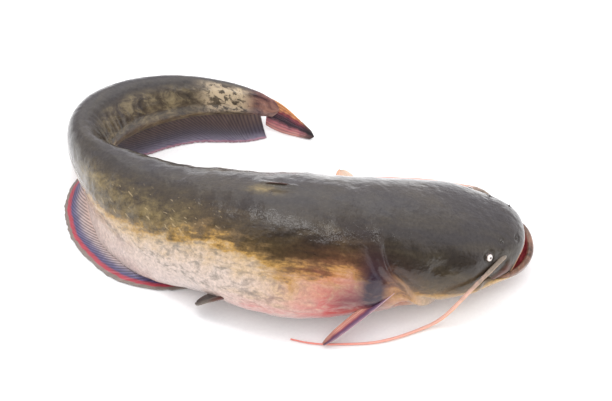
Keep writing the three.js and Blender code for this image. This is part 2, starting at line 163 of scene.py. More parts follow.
def place(station, left, height, origin=(0, 0, 0)):
    """The point at a station, left of the spine and at a height."""
    station = np.asarray(station, float)
    heading = np.radians(read(HEADING, station))
    ahead = np.maximum(-station, 0) / 100 * BODY_LENGTH
    x = np.interp(station, SPINE_STATIONS, SPINE_X) + ahead * np.cos(heading) - left * np.sin(heading)
    y = np.interp(station, SPINE_STATIONS, SPINE_Y) + ahead * np.sin(heading) + left * np.cos(heading)
    return np.stack(np.broadcast_arrays(x, y, height), -1) + np.asarray(origin)


def section(station, angle):
    """Where the skin lies round a cross-section: its distance to the left and its height."""
    c, s = np.cos(np.radians(angle)), np.sin(np.radians(angle))
    power = np.where(s >= 0, read(BACK_POWER, station), read(BELLY_POWER, station))
    rise = read(SECTIONS, station, 2) / 100 * TRUNK_RISE
    drop = read(SECTIONS, station, 3) / 100 * TRUNK_DROP
    lean = np.radians(read(SECTIONS, station, 5))
    across = read(SECTIONS, station, 1) / 100 * TRUNK_HALF_WIDTH * signed_power(c, 2 / power)
    up = np.where(s >= 0, rise, drop) * signed_power(s, 2 / power)
    height = drop + read(SECTIONS, station, 4) * MM + up * np.cos(lean) - across * np.sin(lean)
    pull = np.where(s < 0, read(KEEL_PULL, station) * np.abs(s) ** 3, 0) * MM
    return across * np.cos(lean) + up * np.sin(lean) + pull, np.maximum(height, 0)


def frame_origin():
    """Where the spine's start lies in the frame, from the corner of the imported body's box."""
    station, angle = np.meshgrid(np.linspace(10, 100, 400), np.linspace(0, 360, 241))
    left, height = section(station, angle)
    lowest = place(station, left, height).reshape(-1, 3).min(0)
    corner = np.asarray(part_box("body")[0])
    return np.array([corner[0] - lowest[0], corner[1] - lowest[1], 0])


ORIGIN = frame_origin()


def skin(station, angle):
    left, height = section(station, angle)
    return place(station, left, height, ORIGIN)


# ---------- the mouth and head ----------
CORNER_BACK = 40 * MM  # the mouth's corners, behind the upper lip
MOUTH_HALF_WIDTH = 43 * MM
JAW_REACH = 8 * MM
CORNER_HEIGHT = 23 * MM
UPPER_LIP_HEIGHT = 45 * MM
LOWER_LIP_HEIGHT = 27 * MM
HEAD_STATION = 8.5  # where the lips' outline has become a plain cross-section
LIP_POWER = 0.86
UPPER_LIP_RADIUS = 1.7 * MM
LOWER_LIP_RADIUS = 4.2 * MM
THROAT_STATION = 9.5
THROAT_HEIGHT = 31 * MM


def percent(length):
    return length / BODY_LENGTH * 100


def lip(angle):
    """The lips' line round the mouth: station, distance to the left and height."""
    c, s = np.cos(np.radians(angle)), np.sin(np.radians(angle))
    corner = percent(CORNER_BACK)
    reach = np.where(s < 0, percent(JAW_REACH), 0)
    station = corner - (corner + reach) * np.abs(s) ** LIP_POWER
    left = MOUTH_HALF_WIDTH * signed_power(c, LIP_POWER)
    height = mix(CORNER_HEIGHT, LOWER_LIP_HEIGHT, np.abs(s) ** 0.8)
    open_ = (UPPER_LIP_HEIGHT - LOWER_LIP_HEIGHT) * np.abs(s) ** 0.8 * smooth(0.4, 0.78, np.abs(s))
    return station, left, height + np.where(s > 0, open_, 0)


def head(share, angle):
    """The head from the lips, at share 0, to the plain cross-section, at share 1."""
    station, left, height = lip(angle)
    wide, high = section(HEAD_STATION, angle)
    roll = np.sqrt(1 - (1 - np.minimum(share / 0.3, 1)) ** 2)
    blunt = np.where(np.sin(np.radians(angle)) >= 0, 0.32, 0.6)
    return (
        mix(station, HEAD_STATION, share),
        mix(left, wide, share**0.8),
        mix(height, high, blunt * roll + (1 - blunt) * share),
    )


def lip_roll(turn, angle):
    """A lip's rounded rim, from its inner side at turn -160 over the edge at -90 to its face at 40."""
    station, left, height = lip(angle)
    c, s = np.cos(np.radians(angle)), np.sin(np.radians(angle))
    outside = s / np.sqrt(s * s + 0.015)
    radius = np.where(s >= 0, UPPER_LIP_RADIUS, mix(UPPER_LIP_RADIUS, LOWER_LIP_RADIUS, np.abs(s) ** 0.6))
    out, up = radius * np.cos(np.radians(turn)), radius * np.sin(np.radians(turn))
    return station - percent(out * np.abs(s)), left + out * c * 0.6, height + up * outside


def cavity(depth, angle):
    """The mouth's lining, from the lip's inner side at depth 0 to the throat at depth 1."""
    station, left, height = lip_roll(-160, angle)
    c, s = np.cos(np.radians(angle)), np.sin(np.radians(angle))
    room = np.sin(np.pi * np.minimum(depth * 1.2, 1)) * np.sqrt(np.abs(s)) * np.where(s >= 0, 5, -7) * MM
    tongue = np.where(s < 0, near(c, 0, 0.42) * smooth(0.15, 0.5, depth) * 5 * MM, 0)
    throat_left, throat_height = 15 * MM * c, THROAT_HEIGHT + 6 * MM * s
    return (
        mix(station, THROAT_STATION, depth),
        mix(left, throat_left, depth**1.2),
        mix(height, throat_height, depth) + room + tongue,
    )


# ---------- making a mesh ----------
def clear_selection():
    for piece in bpy.context.selected_objects:
        piece.select_set(False)


def sheet_of(name, points):
    """A piece made from a flat grid whose vertices are put on rows and columns of points."""
    rows, columns = points.shape[:2]
    clear_selection()
    bpy.ops.mesh.primitive_grid_add(x_subdivisions=rows - 1, y_subdivisions=columns - 1, size=1)
    piece = bpy.context.active_object
    piece.name = name
    piece.data.name = name
    flat = np.empty(rows * columns * 3)
    piece.data.vertices.foreach_get("co", flat)
    flat = flat.reshape(-1, 3)
    row = np.rint((flat[:, 0] + 0.5) * (rows - 1)).astype(int)
    column = np.rint((flat[:, 1] + 0.5) * (columns - 1)).astype(int)
    piece.data.vertices.foreach_set("co", points[row, column].ravel())
    return piece, row, column


def paint(piece, name, values):
    """Stores a value or a vector on each vertex, for the piece's material."""
    kind, field = ("FLOAT_VECTOR", "vector") if values.ndim == 2 else ("FLOAT", "value")
    layer = piece.data.attributes.new(name, kind, "POINT")
    layer.data.foreach_set(field, np.ascontiguousarray(values, dtype=np.float32).ravel())


MEETING = 1e-6  # vertices this close to each other become one
NO_LENGTH = 1e-7  # an edge this short is dissolved


def close_up(piece):
    """Joins a sheet's meeting edges into one closed skin with its faces outwards."""
    clear_selection()
    piece.select_set(True)
    bpy.context.view_layer.objects.active = piece
    bpy.ops.object.mode_set(mode="EDIT")
    bpy.ops.mesh.select_all(action="SELECT")
    bpy.ops.mesh.remove_doubles(threshold=MEETING)
    bpy.ops.mesh.dissolve_degenerate(threshold=NO_LENGTH)
    bpy.ops.mesh.select_all(action="SELECT")
    bpy.ops.mesh.normals_make_consistent(inside=False)
    bpy.ops.object.mode_set(mode="OBJECT")
    bpy.ops.object.shade_smooth()


def finish_piece(piece, nodes, material):
    """Gives a piece its material and tells the frame what it stands for."""
    piece.data.materials.append(material)
    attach(piece, "root")
    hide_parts(*nodes)


def normals_of(points):
    """Outward normals of a closed skin's rows and columns of points."""
    along = np.gradient(points, axis=0)
    padded = np.concatenate([points[:, -2:-1], points, points[:, 1:2]], axis=1)
    round_ = (padded[:, 2:] - padded[:, :-2]) / 2
    normal = np.cross(along, round_)
    return normal / np.maximum(np.linalg.norm(normal, axis=-1, keepdims=True), 1e-12)


# ---------- materials ----------
# Nodes that recur: the kind, the output that is read and the settings. A mix of colours takes its
# factor at input 0 and its colours at 6 and 7.
PAINTED = ("ShaderNodeAttribute", "Fac")
OBJECT_PLACE = ("ShaderNodeTexCoord", "Object", {})
NOISE = ("ShaderNodeTexNoise", "Fac", {"noise_dimensions": "3D"})
RAMP = ("ShaderNodeValToRGB", 0, {})
RANGE = ("ShaderNodeMapRange", 0, {})
BUMP = ("ShaderNodeBump", 0, {})
OVER = ("ShaderNodeMix", 2, {"data_type": "RGBA", "blend_type": "MIX", "clamp_factor": True})
TINTED = ("ShaderNodeMix", 2, {"data_type": "RGBA", "blend_type": "MULTIPLY", "clamp_factor": True})
PLUS = ("ShaderNodeMath", 0, {"operation": "ADD"})
LESS = ("ShaderNodeMath", 0, {"operation": "SUBTRACT"})
TIMES = ("ShaderNodeMath", 0, {"operation": "MULTIPLY"})
SHADER = ("ShaderNodeBsdfPrincipled", 0, {})
SURFACE = ("ShaderNodeOutputMaterial", None, {})
# Skin under a film of slime, which bends light a little less than the skin does.
SLIME = {"IOR": 1.4, "Coat IOR": 1.36, "Coat Roughness": 0.15}


def new_material(name):
    material = bpy.data.materials.new(name)
    material.use_nodes = True
    tree = material.node_tree
    tree.nodes.clear()
    return material, tree


def add(tree, kind, output, settings, inputs=None, stops=()):
    """Adds a node with its settings, its inputs and a ramp's stops, and gives the output that is read.

    An input is a socket to link, a value, or a colour as an sRGB hex code.
    """
    made = tree.nodes.new(kind)
    for name, value in settings.items():
        setattr(made, name, value)
    for key, value in (inputs or {}).items():
        if isinstance(value, bpy.types.NodeSocket):
            tree.links.new(value, made.inputs[key])
        else:
            made.inputs[key].default_value = (*linear(value), 1) if isinstance(value, str) else value
    for i, (position, colour) in enumerate(stops):
        element = made.color_ramp.elements[i] if i < 2 else made.color_ramp.elements.new(position)
        element.position = position
        element.color = (*linear(colour), 1) if isinstance(colour, str) else (colour, colour, colour, 1)
    return made.outputs[output] if made.outputs else None


def lay(tree, colour, layers):
    """Lays colours over a colour, one after another, each by the product of its factors."""
    for (share, *factors), layer in layers:
        for factor in factors:
            share = add(tree, *TIMES, {0: share, 1: factor})
        colour = add(tree, *OVER, {0: share, 6: colour, 7: layer})
    return colour


# The values that paint_body stores on the skin.
SKIN_MASKS = (
    "flank", "mottle", "worn", "blotches", "scraped", "arm", "tail", "flush", "blood", "bruise",
    "rosy_end", "crease", "flap", "pocket", "lower_lip", "lip_edge", "mouth",
)


def skin_patterns(tree):
    """The noises of the skin, from clouds of about 34 mm down to grain of 2 mm, by name."""
    hide = add(tree, "ShaderNodeAttribute", "Vector", {"attribute_name": "hide"})
    place_on_piece = add(tree, *OBJECT_PLACE)
    patterns = {}
    # Spot size in millimetres, detail, roughness, stretch along the body and warp.
    for name, size, detail, rough, stretch, warp in (
        ("broad", 34, 5, 0.62, 0.6, 0.6),
        ("patchy", 11, 5, 0.68, 0.7, 0.5),
        ("blocky", 6, 4, 0.6, 0.75, 0.4),
        ("streaks", 5, 4, 0.65, 0.22, 0.3),
    ):
        along = add(tree, "ShaderNodeMapping", 0, {}, {"Vector": hide, "Scale": (stretch, 1, 1)})
        size_and_shape = {"Scale": 1 / (size * MM), "Detail": detail, "Roughness": rough, "Distortion": warp}
        patterns[name] = add(tree, *NOISE, {"Vector": along, **size_and_shape})
    fine = (("speckle", 3.2, 4, 0.7), ("grain", 2.0, 4, 0.7), ("dimples", 9, 3, 0.5))
    for name, size, detail, rough in fine:
        size_and_shape = {"Scale": 1 / (size * MM), "Detail": detail, "Roughness": rough}
        patterns[name] = add(tree, *NOISE, {"Vector": place_on_piece, **size_and_shape})
    slanting = add(
        tree, "ShaderNodeMapping", 0, {"vector_type": "TEXTURE"},
        {"Vector": hide, "Rotation": (0, 0, -0.6), "Scale": (24, 1, 1)},
    )
    patterns["scrape"] = add(tree, *NOISE, {"Vector": slanting, "Scale": 1 / (2.2 * MM), "Detail": 0.0})
    return patterns


def skin_material(colours):
    """Wet catfish skin: scaleless hide under a film of clear slime.

    The slime gives a thin, sharp gloss over the softer sheen of the skin. Dimples about 9 mm wide and
    grain of 2 mm break both up. The colour lies in blotches: near black on the back, ochre where the
    dark ends on the flank, and cream below.
    """
    material, tree = new_material("wet_catfish_skin")
    patterns = skin_patterns(tree)
    mask = {name: add(tree, *PAINTED, {"attribute_name": name}) for name in SKIN_MASKS}
    ramps = {
        name: add(tree, *RAMP, {"Fac": patterns[pattern]}, stops)
        for name, pattern, stops in (
            ("clouds", "broad", ((0.42, 0.0), (0.68, 1.0))),
            ("worn_hide", "patchy", ((0.36, "4a3d24"), (0.62, "8f7c50"))),
            ("fine", "speckle", ((0.3, 0.6), (0.7, 1.28))),
            ("blotch", "blocky", ((0.48, 0.0), (0.66, 1.0))),
            ("scratch", "scrape", ((0.76, 0.0), (0.79, 1.0))),
            ("arm_hide", "patchy", ((0.36, "322b26"), (0.68, "8c7d5e"), (0.5, "564b3c"))),
            ("pale_tail", "patchy", ((0.34, "5c5042"), (0.52, "b9a68a"))),
            ("spots", "blocky", ((0.5, 0.0), (0.56, 1.0))),
            ("rosy", "patchy", ((0.36, 0.35), (0.6, 1.0))),
            ("raw_end", "patchy", ((0.38, "4a2c34"), (0.62, "9a6a62"))),
            ("lip", "patchy", ((0.38, "4c382c"), (0.6, "8a6450"))),
            ("flesh", "patchy", ((0.35, "6e1c22"), (0.65, "a8454a"))),
        )
    }

    # How far down the flank: 0 where the dark back gives way to the pale belly, on a ragged line.
    ragged = None
    for name, reach in (("broad", 1.5), ("patchy", 1.1), ("streaks", 0.5)):
        swing = add(tree, *TIMES, {0: add(tree, *LESS, {0: patterns[name], 1: 0.5}), 1: reach})
        ragged = add(tree, *PLUS, {0: ragged, 1: swing}) if ragged is not None else swing
    level = add(tree, *PLUS, {0: mask["flank"], 1: add(tree, *TIMES, {0: ragged, 1: mask["mottle"]})})
    down_flank = add(tree, *RANGE, {"Value": level, "From Min": -2.0, "From Max": 2.0})
    colour = add(
        tree, *RAMP, {"Fac": down_flank},
        (
            (0.0, "35312f"), (1.0, "c6b4ac"), (0.28, "2e251c"), (0.42, "46371f"), (0.485, "6c5534"),
            (0.535, "ad8748"), (0.60, "c0a480"), (0.76, "c8b4a6"),
        ),
    )
    above = add(tree, *RANGE, {"Value": mask["flank"], "From Min": 0.1, "From Max": -0.7})
    # How strongly the painted shade in the pit behind the pectoral fin shows, varying in patches.
    pit_shade_patches = add(tree, *PLUS, {0: patterns["patchy"], 1: 0.55})

    # Olive clouds on the back and worn patches of hide come under the fine speckle of the pigment.
    colour = lay(tree, colour, (
        ((ramps["clouds"], above, 0.4), (*colours.olive, 1)),
        ((mask["worn"], patterns["blocky"], 1.6), ramps["worn_hide"]),
    ))
    speckled = add(tree, *TINTED, {0: 1.0, 6: colour, 7: ramps["fine"]})
    # Over it: grey blotches and pale scratches, the tail's brown arm and its pale end with near black
    # spots, blood under the skin, painted shade in the pit behind the pectoral fin, the folds at the gill
    # cover and the mouth, the lips and their lining.
    colour = lay(tree, colour, (
        ((0.75,), speckled),
        ((ramps["blotch"], mask["blotches"], 0.7), (*colours.blotch, 1)),
        ((ramps["scratch"], mask["scraped"], 0.3), "cbb389"),
        ((mask["arm"], 0.85), ramps["arm_hide"]),
        ((mask["tail"], 0.95), ramps["pale_tail"]),
        ((ramps["spots"], mask["tail"], 0.85), "2d2620"),
        ((mask["flush"], ramps["rosy"]), (*colours.flush, 1)),
        ((mask["blood"],), "a52f36"),
        # painted shade: dark purple laid in the pit behind the pectoral fin's root
        ((mask["bruise"], pit_shade_patches), (*colours.bruise, 1)),
        ((mask["rosy_end"],), ramps["raw_end"]),
        ((mask["crease"],), "c9a07c"),
        ((mask["flap"],), "a04f3a"),
        ((mask["pocket"],), "623c32"),
        ((mask["lower_lip"],), ramps["lip"]),
        ((mask["lip_edge"],), "b0825c"),
        ((mask["mouth"],), ramps["flesh"]),
    ))

    bump = add(tree, *BUMP, {"Height": patterns["dimples"], "Strength": 0.55, "Distance": 2.0 * MM})
    bump = add(
        tree, *BUMP, {"Height": patterns["grain"], "Normal": bump, "Strength": 0.4, "Distance": 0.4 * MM}
    )
    rough = add(
        tree, *RANGE,
        {"Value": patterns["patchy"], "From Min": 0.3, "From Max": 0.7, "To Min": 0.26, "To Max": 0.42},
    )
    finish = SLIME | {"Specular IOR Level": 0.35, "Coat Weight": 1.0, "Coat Roughness": 0.07}
    finish["Roughness"] = rough
    shader = add(tree, *SHADER, {"Base Color": colour, "Normal": bump, "Coat Normal": bump, **finish})
    add(tree, *SURFACE, {"Surface": shader})
    return material


def anal_fin_material():
    """Wet fin skin stretched over dark rays, with a sheen of slime.

    Its bands run from a pink root over grey rays and purple to a red line and a grey-brown fringe. Along
    the tail's arm the fin is darker and browner.
    """
    material, tree = new_material("wet_ribbon_fin")
    place_on_fin = add(tree, "ShaderNodeAttribute", "Vector", {"attribute_name": "fin"})
    names = ("band", "tailward", "ray", "ray_show")
    mask = {name: add(tree, *PAINTED, {"attribute_name": name}) for name in names}
    cloud = add(tree, *NOISE, {"Vector": place_on_fin, "Scale": 1 / (6 * MM), "Detail": 4.0})
    band = add(tree, *PLUS, {0: mask["band"], 1: add(tree, *TIMES, {0: cloud, 1: 0.1})})
    outer = add(
        tree, *RAMP, {"Fac": band},
        (
            (0.0, "847a72"), (1.0, "d2b2a2"), (0.13, "85766f"), (0.17, "b03c4c"), (0.25, "a8424f"),
            (0.31, "54507a"), (0.42, "736c88"), (0.56, "b7a5a4"), (0.75, "cfb4a8"),
        ),
    )
    inner = add(
        tree, *RAMP, {"Fac": band},
        (
            (0.0, "a08088"), (1.0, "6b5b50"), (0.06, "a07484"), (0.12, "625a6e"), (0.34, "4f4852"),
            (0.5, "574846"), (0.8, "6a5850"),
        ),
    )
    colour = add(tree, *OVER, {0: mask["tailward"], 6: outer, 7: inner})
    dark = add(tree, *TIMES, {0: add(tree, *TIMES, {0: mask["ray"], 1: mask["ray_show"]}), 1: 0.72})
    colour = add(tree, *OVER, {0: dark, 6: colour, 7: "2c2530"})
    tint = add(tree, *RAMP, {"Fac": cloud}, ((0.3, 0.82), (0.7, 1.1)))
    clouded = add(tree, *TINTED, {0: 1.0, 6: colour, 7: tint})
    colour = add(tree, *OVER, {0: 0.8, 6: colour, 7: clouded})
    bump = add(tree, *BUMP, {"Height": cloud, "Strength": 0.25, "Distance": 0.5 * MM})
    finish = SLIME | {"Roughness": 0.35, "Coat Weight": 0.6}
    shader = add(tree, *SHADER, {"Base Color": colour, "Normal": bump, "Coat Normal": bump, **finish})
    add(tree, *SURFACE, {"Surface": shader})
    return material


def fin_material(name, stops, ray_colour, end_stops):
    """Wet fin skin, thin and slimy over stiff rays: coloured from side to side, darker on the rays."""
    material, tree = new_material(name)
    mask = {name: add(tree, *PAINTED, {"attribute_name": name}) for name in ("across", "along", "ray")}
    cloud = add(tree, *NOISE, {"Vector": add(tree, *OBJECT_PLACE), "Scale": 1 / (7 * MM), "Detail": 4.0})
    shift = add(tree, *TIMES, {0: add(tree, *LESS, {0: cloud, 1: 0.5}), 1: 0.25})
    across = add(tree, *PLUS, {0: mask["across"], 1: shift})
    along = add(tree, *PLUS, {0: mask["along"], 1: shift})
    colour = add(tree, *RAMP, {"Fac": across}, stops)
    colour = add(tree, *TINTED, {0: 1.0, 6: colour, 7: add(tree, *RAMP, {"Fac": along}, end_stops)})
    rays = add(tree, *TIMES, {0: mask["ray"], 1: 0.45})
    colour = add(tree, *OVER, {0: rays, 6: colour, 7: ray_colour})
    bump = add(tree, *BUMP, {"Height": cloud, "Strength": 0.25, "Distance": 0.5 * MM})
    finish = SLIME | {"Roughness": 0.35, "Coat Weight": 0.6}
    shader = add(tree, *SHADER, {"Base Color": colour, "Normal": bump, "Coat Normal": bump, **finish})
    add(tree, *SURFACE, {"Surface": shader})
    return material


def barbel_material():
    """Smooth wet barbel skin, olive-grey at the root, then pink with an orange underside."""
    material, tree = new_material("wet_barbel_skin")
    mask = {name: add(tree, *PAINTED, {"attribute_name": name}) for name in ("along", "under")}
    cloud = add(tree, *NOISE, {"Vector": add(tree, *OBJECT_PLACE), "Scale": 1 / (5 * MM), "Detail": 4.0})
    shift = add(tree, *TIMES, {0: add(tree, *LESS, {0: cloud, 1: 0.5}), 1: 0.2})
    along = add(tree, *PLUS, {0: mask["along"], 1: shift})
    top = add(
        tree, *RAMP, {"Fac": along},
        ((0.0, "5a5346"), (1.0, "dc7a70"), (0.18, "8a7a6c"), (0.32, "dcae9c"), (0.7, "e6a294")),
    )
    under = add(
        tree, *RAMP, {"Fac": along}, ((0.0, "7a6238"), (1.0, "d8705f"), (0.2, "cf9a60"), (0.45, "eaa874"))
    )
    colour = add(tree, *OVER, {0: mask["under"], 6: top, 7: under})
    bump = add(tree, *BUMP, {"Height": cloud, "Strength": 0.2, "Distance": 0.3 * MM})
    finish = SLIME | {"Roughness": 0.32, "Coat Weight": 0.5}
    shader = add(tree, *SHADER, {"Base Color": colour, "Normal": bump, "Coat Normal": bump, **finish})
    add(tree, *SURFACE, {"Surface": shader})
    return material


def eye_material():
    """A dead fish's wet eye: a clear cornea over a small black pupil in a pale, clouded iris.

    It darkens where the lid meets it.
    """
    material, tree = new_material("wet_fish_eye")
    mask = {name: add(tree, *PAINTED, {"attribute_name": name}) for name in ("out",)}
    cloud = add(tree, *NOISE, {"Vector": add(tree, *OBJECT_PLACE), "Scale": 1 / (1.6 * MM), "Detail": 3.0})
    off = add(tree, *TIMES, {0: add(tree, *LESS, {0: cloud, 1: 0.5}), 1: 0.22})
    colour = add(
        tree, *RAMP, {"Fac": add(tree, *PLUS, {0: mask["out"], 1: off})},
        (
            (0.0, "08080a"), (1.0, "3a322c"), (0.2, "0b0b0d"), (0.25, "cfc3bd"), (0.5, "efe6df"),
            (0.72, "d8cbc4"), (0.84, "5b4c44"),
        ),
    )
    bump = add(tree, *BUMP, {"Height": cloud, "Strength": 0.05, "Distance": 0.1 * MM})
    finish = SLIME | {"Roughness": 0.2, "Coat Weight": 1.0}
    shader = add(tree, *SHADER, {"Base Color": colour, "Normal": bump, "Coat Normal": bump, **finish})
    add(tree, *SURFACE, {"Surface": shader})
    return material


def floor_material():
    """Matt white paper, laid flat: bright, almost without gloss, with faint fibres."""
    material, tree = new_material("matt_white_paper")
    fibre = add(tree, *NOISE, {"Vector": add(tree, *OBJECT_PLACE), "Scale": 1 / (3 * MM), "Detail": 3.0})
    colour = add(tree, *RAMP, {"Fac": fibre}, ((0.3, "f4f3f4"), (0.7, "f8f8f8")))
    shader = add(tree, *SHADER, {"Base Color": colour, "Roughness": 0.9, "Specular IOR Level": 0.1})
    add(tree, *SURFACE, {"Surface": shader})
    return material


# ---------- the body ----------
SIDES = 176
MOUTH_ROWS = 26
LIP_ROWS = 16
HEAD_ROWS = 92
BODY_ROWS = 330
ROWS_BEFORE_JOIN, ROWS_AFTER_JOIN = 22, 14  # that are softened where the head meets the trunk
SOFTENING_PASSES = 70

# Where the dark back gives way to the pale belly: station, degrees from the back's ridge.
DARK_EDGE = [
    (0, 100), (10, 102), (16, 99), (20, 92), (24, 70), (28, 74), (33, 71), (38, 60), (43, 62), (48, 71),
    (53, 82), (58, 86), (64, 94), (70, 110), (80, 130), (100, 150),
]


DARK_FADE = 34  # degrees
# The gill cover's rear edge: degrees round the body on the right side, station.
GILL_COVER_EDGE = [
    (95, 19), (120, 20), (140, 20.8), (163, 20.2), (178, 18.2), (205, 15.9), (230, 13), (270, 10),
]
# The pale crease behind the cover: degrees from the back's ridge, station.
CREASE = [(60, 20.6), (73, 20.1), (88, 18.1), (115, 15.8)]


def body_points():
    """Rows of points from the throat, over the lips and the head, to the tail's end."""
    angle = np.linspace(360, 0, SIDES + 1)
    rows, kind, stations = [], [], []

    def row(values, what):
        station, left, height = np.broadcast_arrays(*values)
        rows.append(place(station, left, height, ORIGIN))
        stations.append(station)
        kind.append(what)

    row((THROAT_STATION + 0.8, 0 * angle, THROAT_HEIGHT), -1.0)
    for i in range(MOUTH_ROWS):
        row(cavity(1 - i / MOUTH_ROWS, angle), -1 + i / MOUTH_ROWS * 0.5)
    for i in range(LIP_ROWS):
        row(lip_roll(mix(-160, 40, i / (LIP_ROWS - 1)), angle), -0.5 + 0.5 * i / LIP_ROWS)
    lip_end = rows[-1]
    lip_station = stations[-1]
    for i in range(1, HEAD_ROWS + 1):
        share = (i / HEAD_ROWS) ** 1.5
        station, left, height = np.broadcast_arrays(*head(share, angle))
        start = place(*head(0, angle), ORIGIN)
        fade = (1 - share) ** 10
        rows.append(place(station, left, height, ORIGIN) + (lip_end - start) * fade)
        stations.append(mix(station, lip_station, fade))
        kind.append(share)
    join = len(rows) - 1
    for i in range(1, BODY_ROWS + 1):
        station = mix(HEAD_STATION, 100, i / BODY_ROWS)
        left, height = section(station, angle)
        (top_left, top), (keel_left, keel) = section(station, 90), section(station, 270)
        spread = (height - keel) / (top - keel)
        thin = 1 - 0.62 * smooth(95.5, 100, station)
        left = mix(mix(keel_left, top_left, spread), left, thin)
        height = mix((top + keel) / 2 - 2 * MM, height, 1 - 0.3 * smooth(97.5, 100.5, station))
        row((station, left, height), 1 + i)
    # The head runs into the trunk without a crease.
    near_join = slice(join - ROWS_BEFORE_JOIN, join + ROWS_AFTER_JOIN)
    cheek = np.array(rows[near_join])
    soften = 0.5 * np.hanning(len(cheek))[1:-1, None, None]
    for _ in range(SOFTENING_PASSES):
        cheek[1:-1] += soften * ((cheek[:-2] + cheek[2:]) / 2 - cheek[1:-1])
    rows[near_join] = list(cheek)
    end = rows[-1]
    middle = end[:-1].mean(0)
    tip = place(100.9, 0, 0) - place(100, 0, 0)
    for share in (0.25, 0.55, 0.85, 1.0):
        rows.append(mix(end, middle, share) + tip * math.sin(share * math.pi / 2))
        stations.append(stations[-1] + 0.1)
        kind.append(1 + BODY_ROWS)
    return np.array(rows), np.array(stations), np.array(kind), angle


def surface_point(share, angle):
    """A point on the head and its outward direction."""
    here = place(*head(share, angle), ORIGIN)
    back = place(*head(share + 0.03, angle), ORIGIN) - place(*head(share - 0.03, angle), ORIGIN)
    round_ = place(*head(share, angle + 2), ORIGIN) - place(*head(share, angle - 2), ORIGIN)
    out = np.cross(back, round_)
    return here, out / np.linalg.norm(out)


def shape_details(points, stations, kind, angle):
    """Moves the skin along its normals for the eye rims, nostrils, gill cover, folds and wrinkles."""
    normal = normals_of(points)
    turn = np.broadcast_to(angle, stations.shape)
    s = stations
    outside = (kind > -0.02)[:, None]
    share = kind[:, None]  # along the head, 0 at the lips
    push = np.zeros(s.shape)  # outwards, in millimetres

    for side in ("left", "right"):
        low, high = (np.asarray(corner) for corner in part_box("eye_" + side))
        centre = (low + high) / 2
        gap = np.linalg.norm(points - centre, axis=-1)
        push += outside * (0.9 * near(gap, 5.6 * MM, 1.3 * MM) - 1.6 * near(gap, 0, 3.6 * MM))
        mirrored = 1 if side == "left" else -1
        for nostril, up, size in ((0.12, 66, 1.5), (0.40, 58, 1.2)):
            here, _ = surface_point(nostril, 90 - mirrored * (90 - up))
            gap = np.linalg.norm(points - here, axis=-1)
            push += outside * (size * near(gap, 2.1 * MM, 1.1 * MM) - 1.4 * size * near(gap, 0, 1.3 * MM))

    for side in (0, 1):
        a = turn if side else 180 - turn  # measured so that 180 is this side's flank
        a = np.where(a < -90, a + 360, a)
        # The gill cover's rear edge stands over a groove, and a fold of skin lies behind it.
        edge = read(GILL_COVER_EDGE, a)
        reach = between(a, 128, 150, 225, 245)
        cover = between(s - edge, -2.6, -0.3, -0.25, 0.25)
        push += outside * reach * (4.2 * cover - 2.4 * near(s - edge, 0.45, 0.4))
        push += outside * reach * 2.2 * near(s - edge, 1.5, 0.55) * near(a, 160, 24)
        # The flap of gill skin that hangs below the cover, beside the fin's root.
        push += outside * 12 * near(s, 18.3, 0.9) * near(a, 210, 7.5)
        # The pocket of thin skin between the mouth's corner and the whisker.
        push -= outside * 2.6 * between(share, 0.01, 0.06, 0.1, 0.2) * between(a, 138, 152, 182, 190)
        # The cheek muscle, the fold behind the mouth's corner and the pit behind the fin.
        push += outside * 1.4 * near(s, 12.5, 3.2) * near(a, 150, 26)
        push += outside * 2.2 * near(s, 13.6, 1.7) * near(a, 158, 10)
        push -= outside * 1.5 * near(s, 7.2 + (a - 180) * 0.03, 0.6) * near(a, 190, 16)
        push -= outside * 3.0 * near(s, 22.6, 1.2) * near(a, 178, 22)

    # The groove that the dorsal fin folds into.
    push -= 2.4 * near(turn, 92, 1.6) * between(s, 30.2, 31.2, 35.5, 36.5)
    push += 1.0 * near(turn, 97, 3.2) * between(s, 30.2, 31.6, 35, 36.5)
    # The line along the flank, and wrinkles where the skin is bunched inside the bend.
    for level in (12, 168):
        push -= 0.35 * near(turn, level, 1.8) * smooth(22, 26, s)
    bunch = near(s, 68, 7) * near(np.where(turn > 180, turn - 360, turn), 20, 46)
    push += 0.8 * bunch * np.sin(s * 5.4 + 0.9 * np.sin(turn * 0.09) + 1.4 * np.sin(s * 1.7))
    # Uneven flesh.
    soft = np.sin(s * 0.9 + turn * 0.045) * np.sin(s * 0.37 - turn * 0.06 + 1.3)
    soft += 0.6 * np.sin(s * 1.7 - turn * 0.08 + 0.4) * np.sin(s * 0.8 + turn * 0.11)
    push += outside * 0.5 * soft * smooth(8, 22, s) * (1 - 0.8 * smooth(56, 68, s))
    moved = points + normal * push[..., None] * MM
    moved[..., 2] = np.where(outside, np.maximum(moved[..., 2], 0.0), moved[..., 2])
    return moved


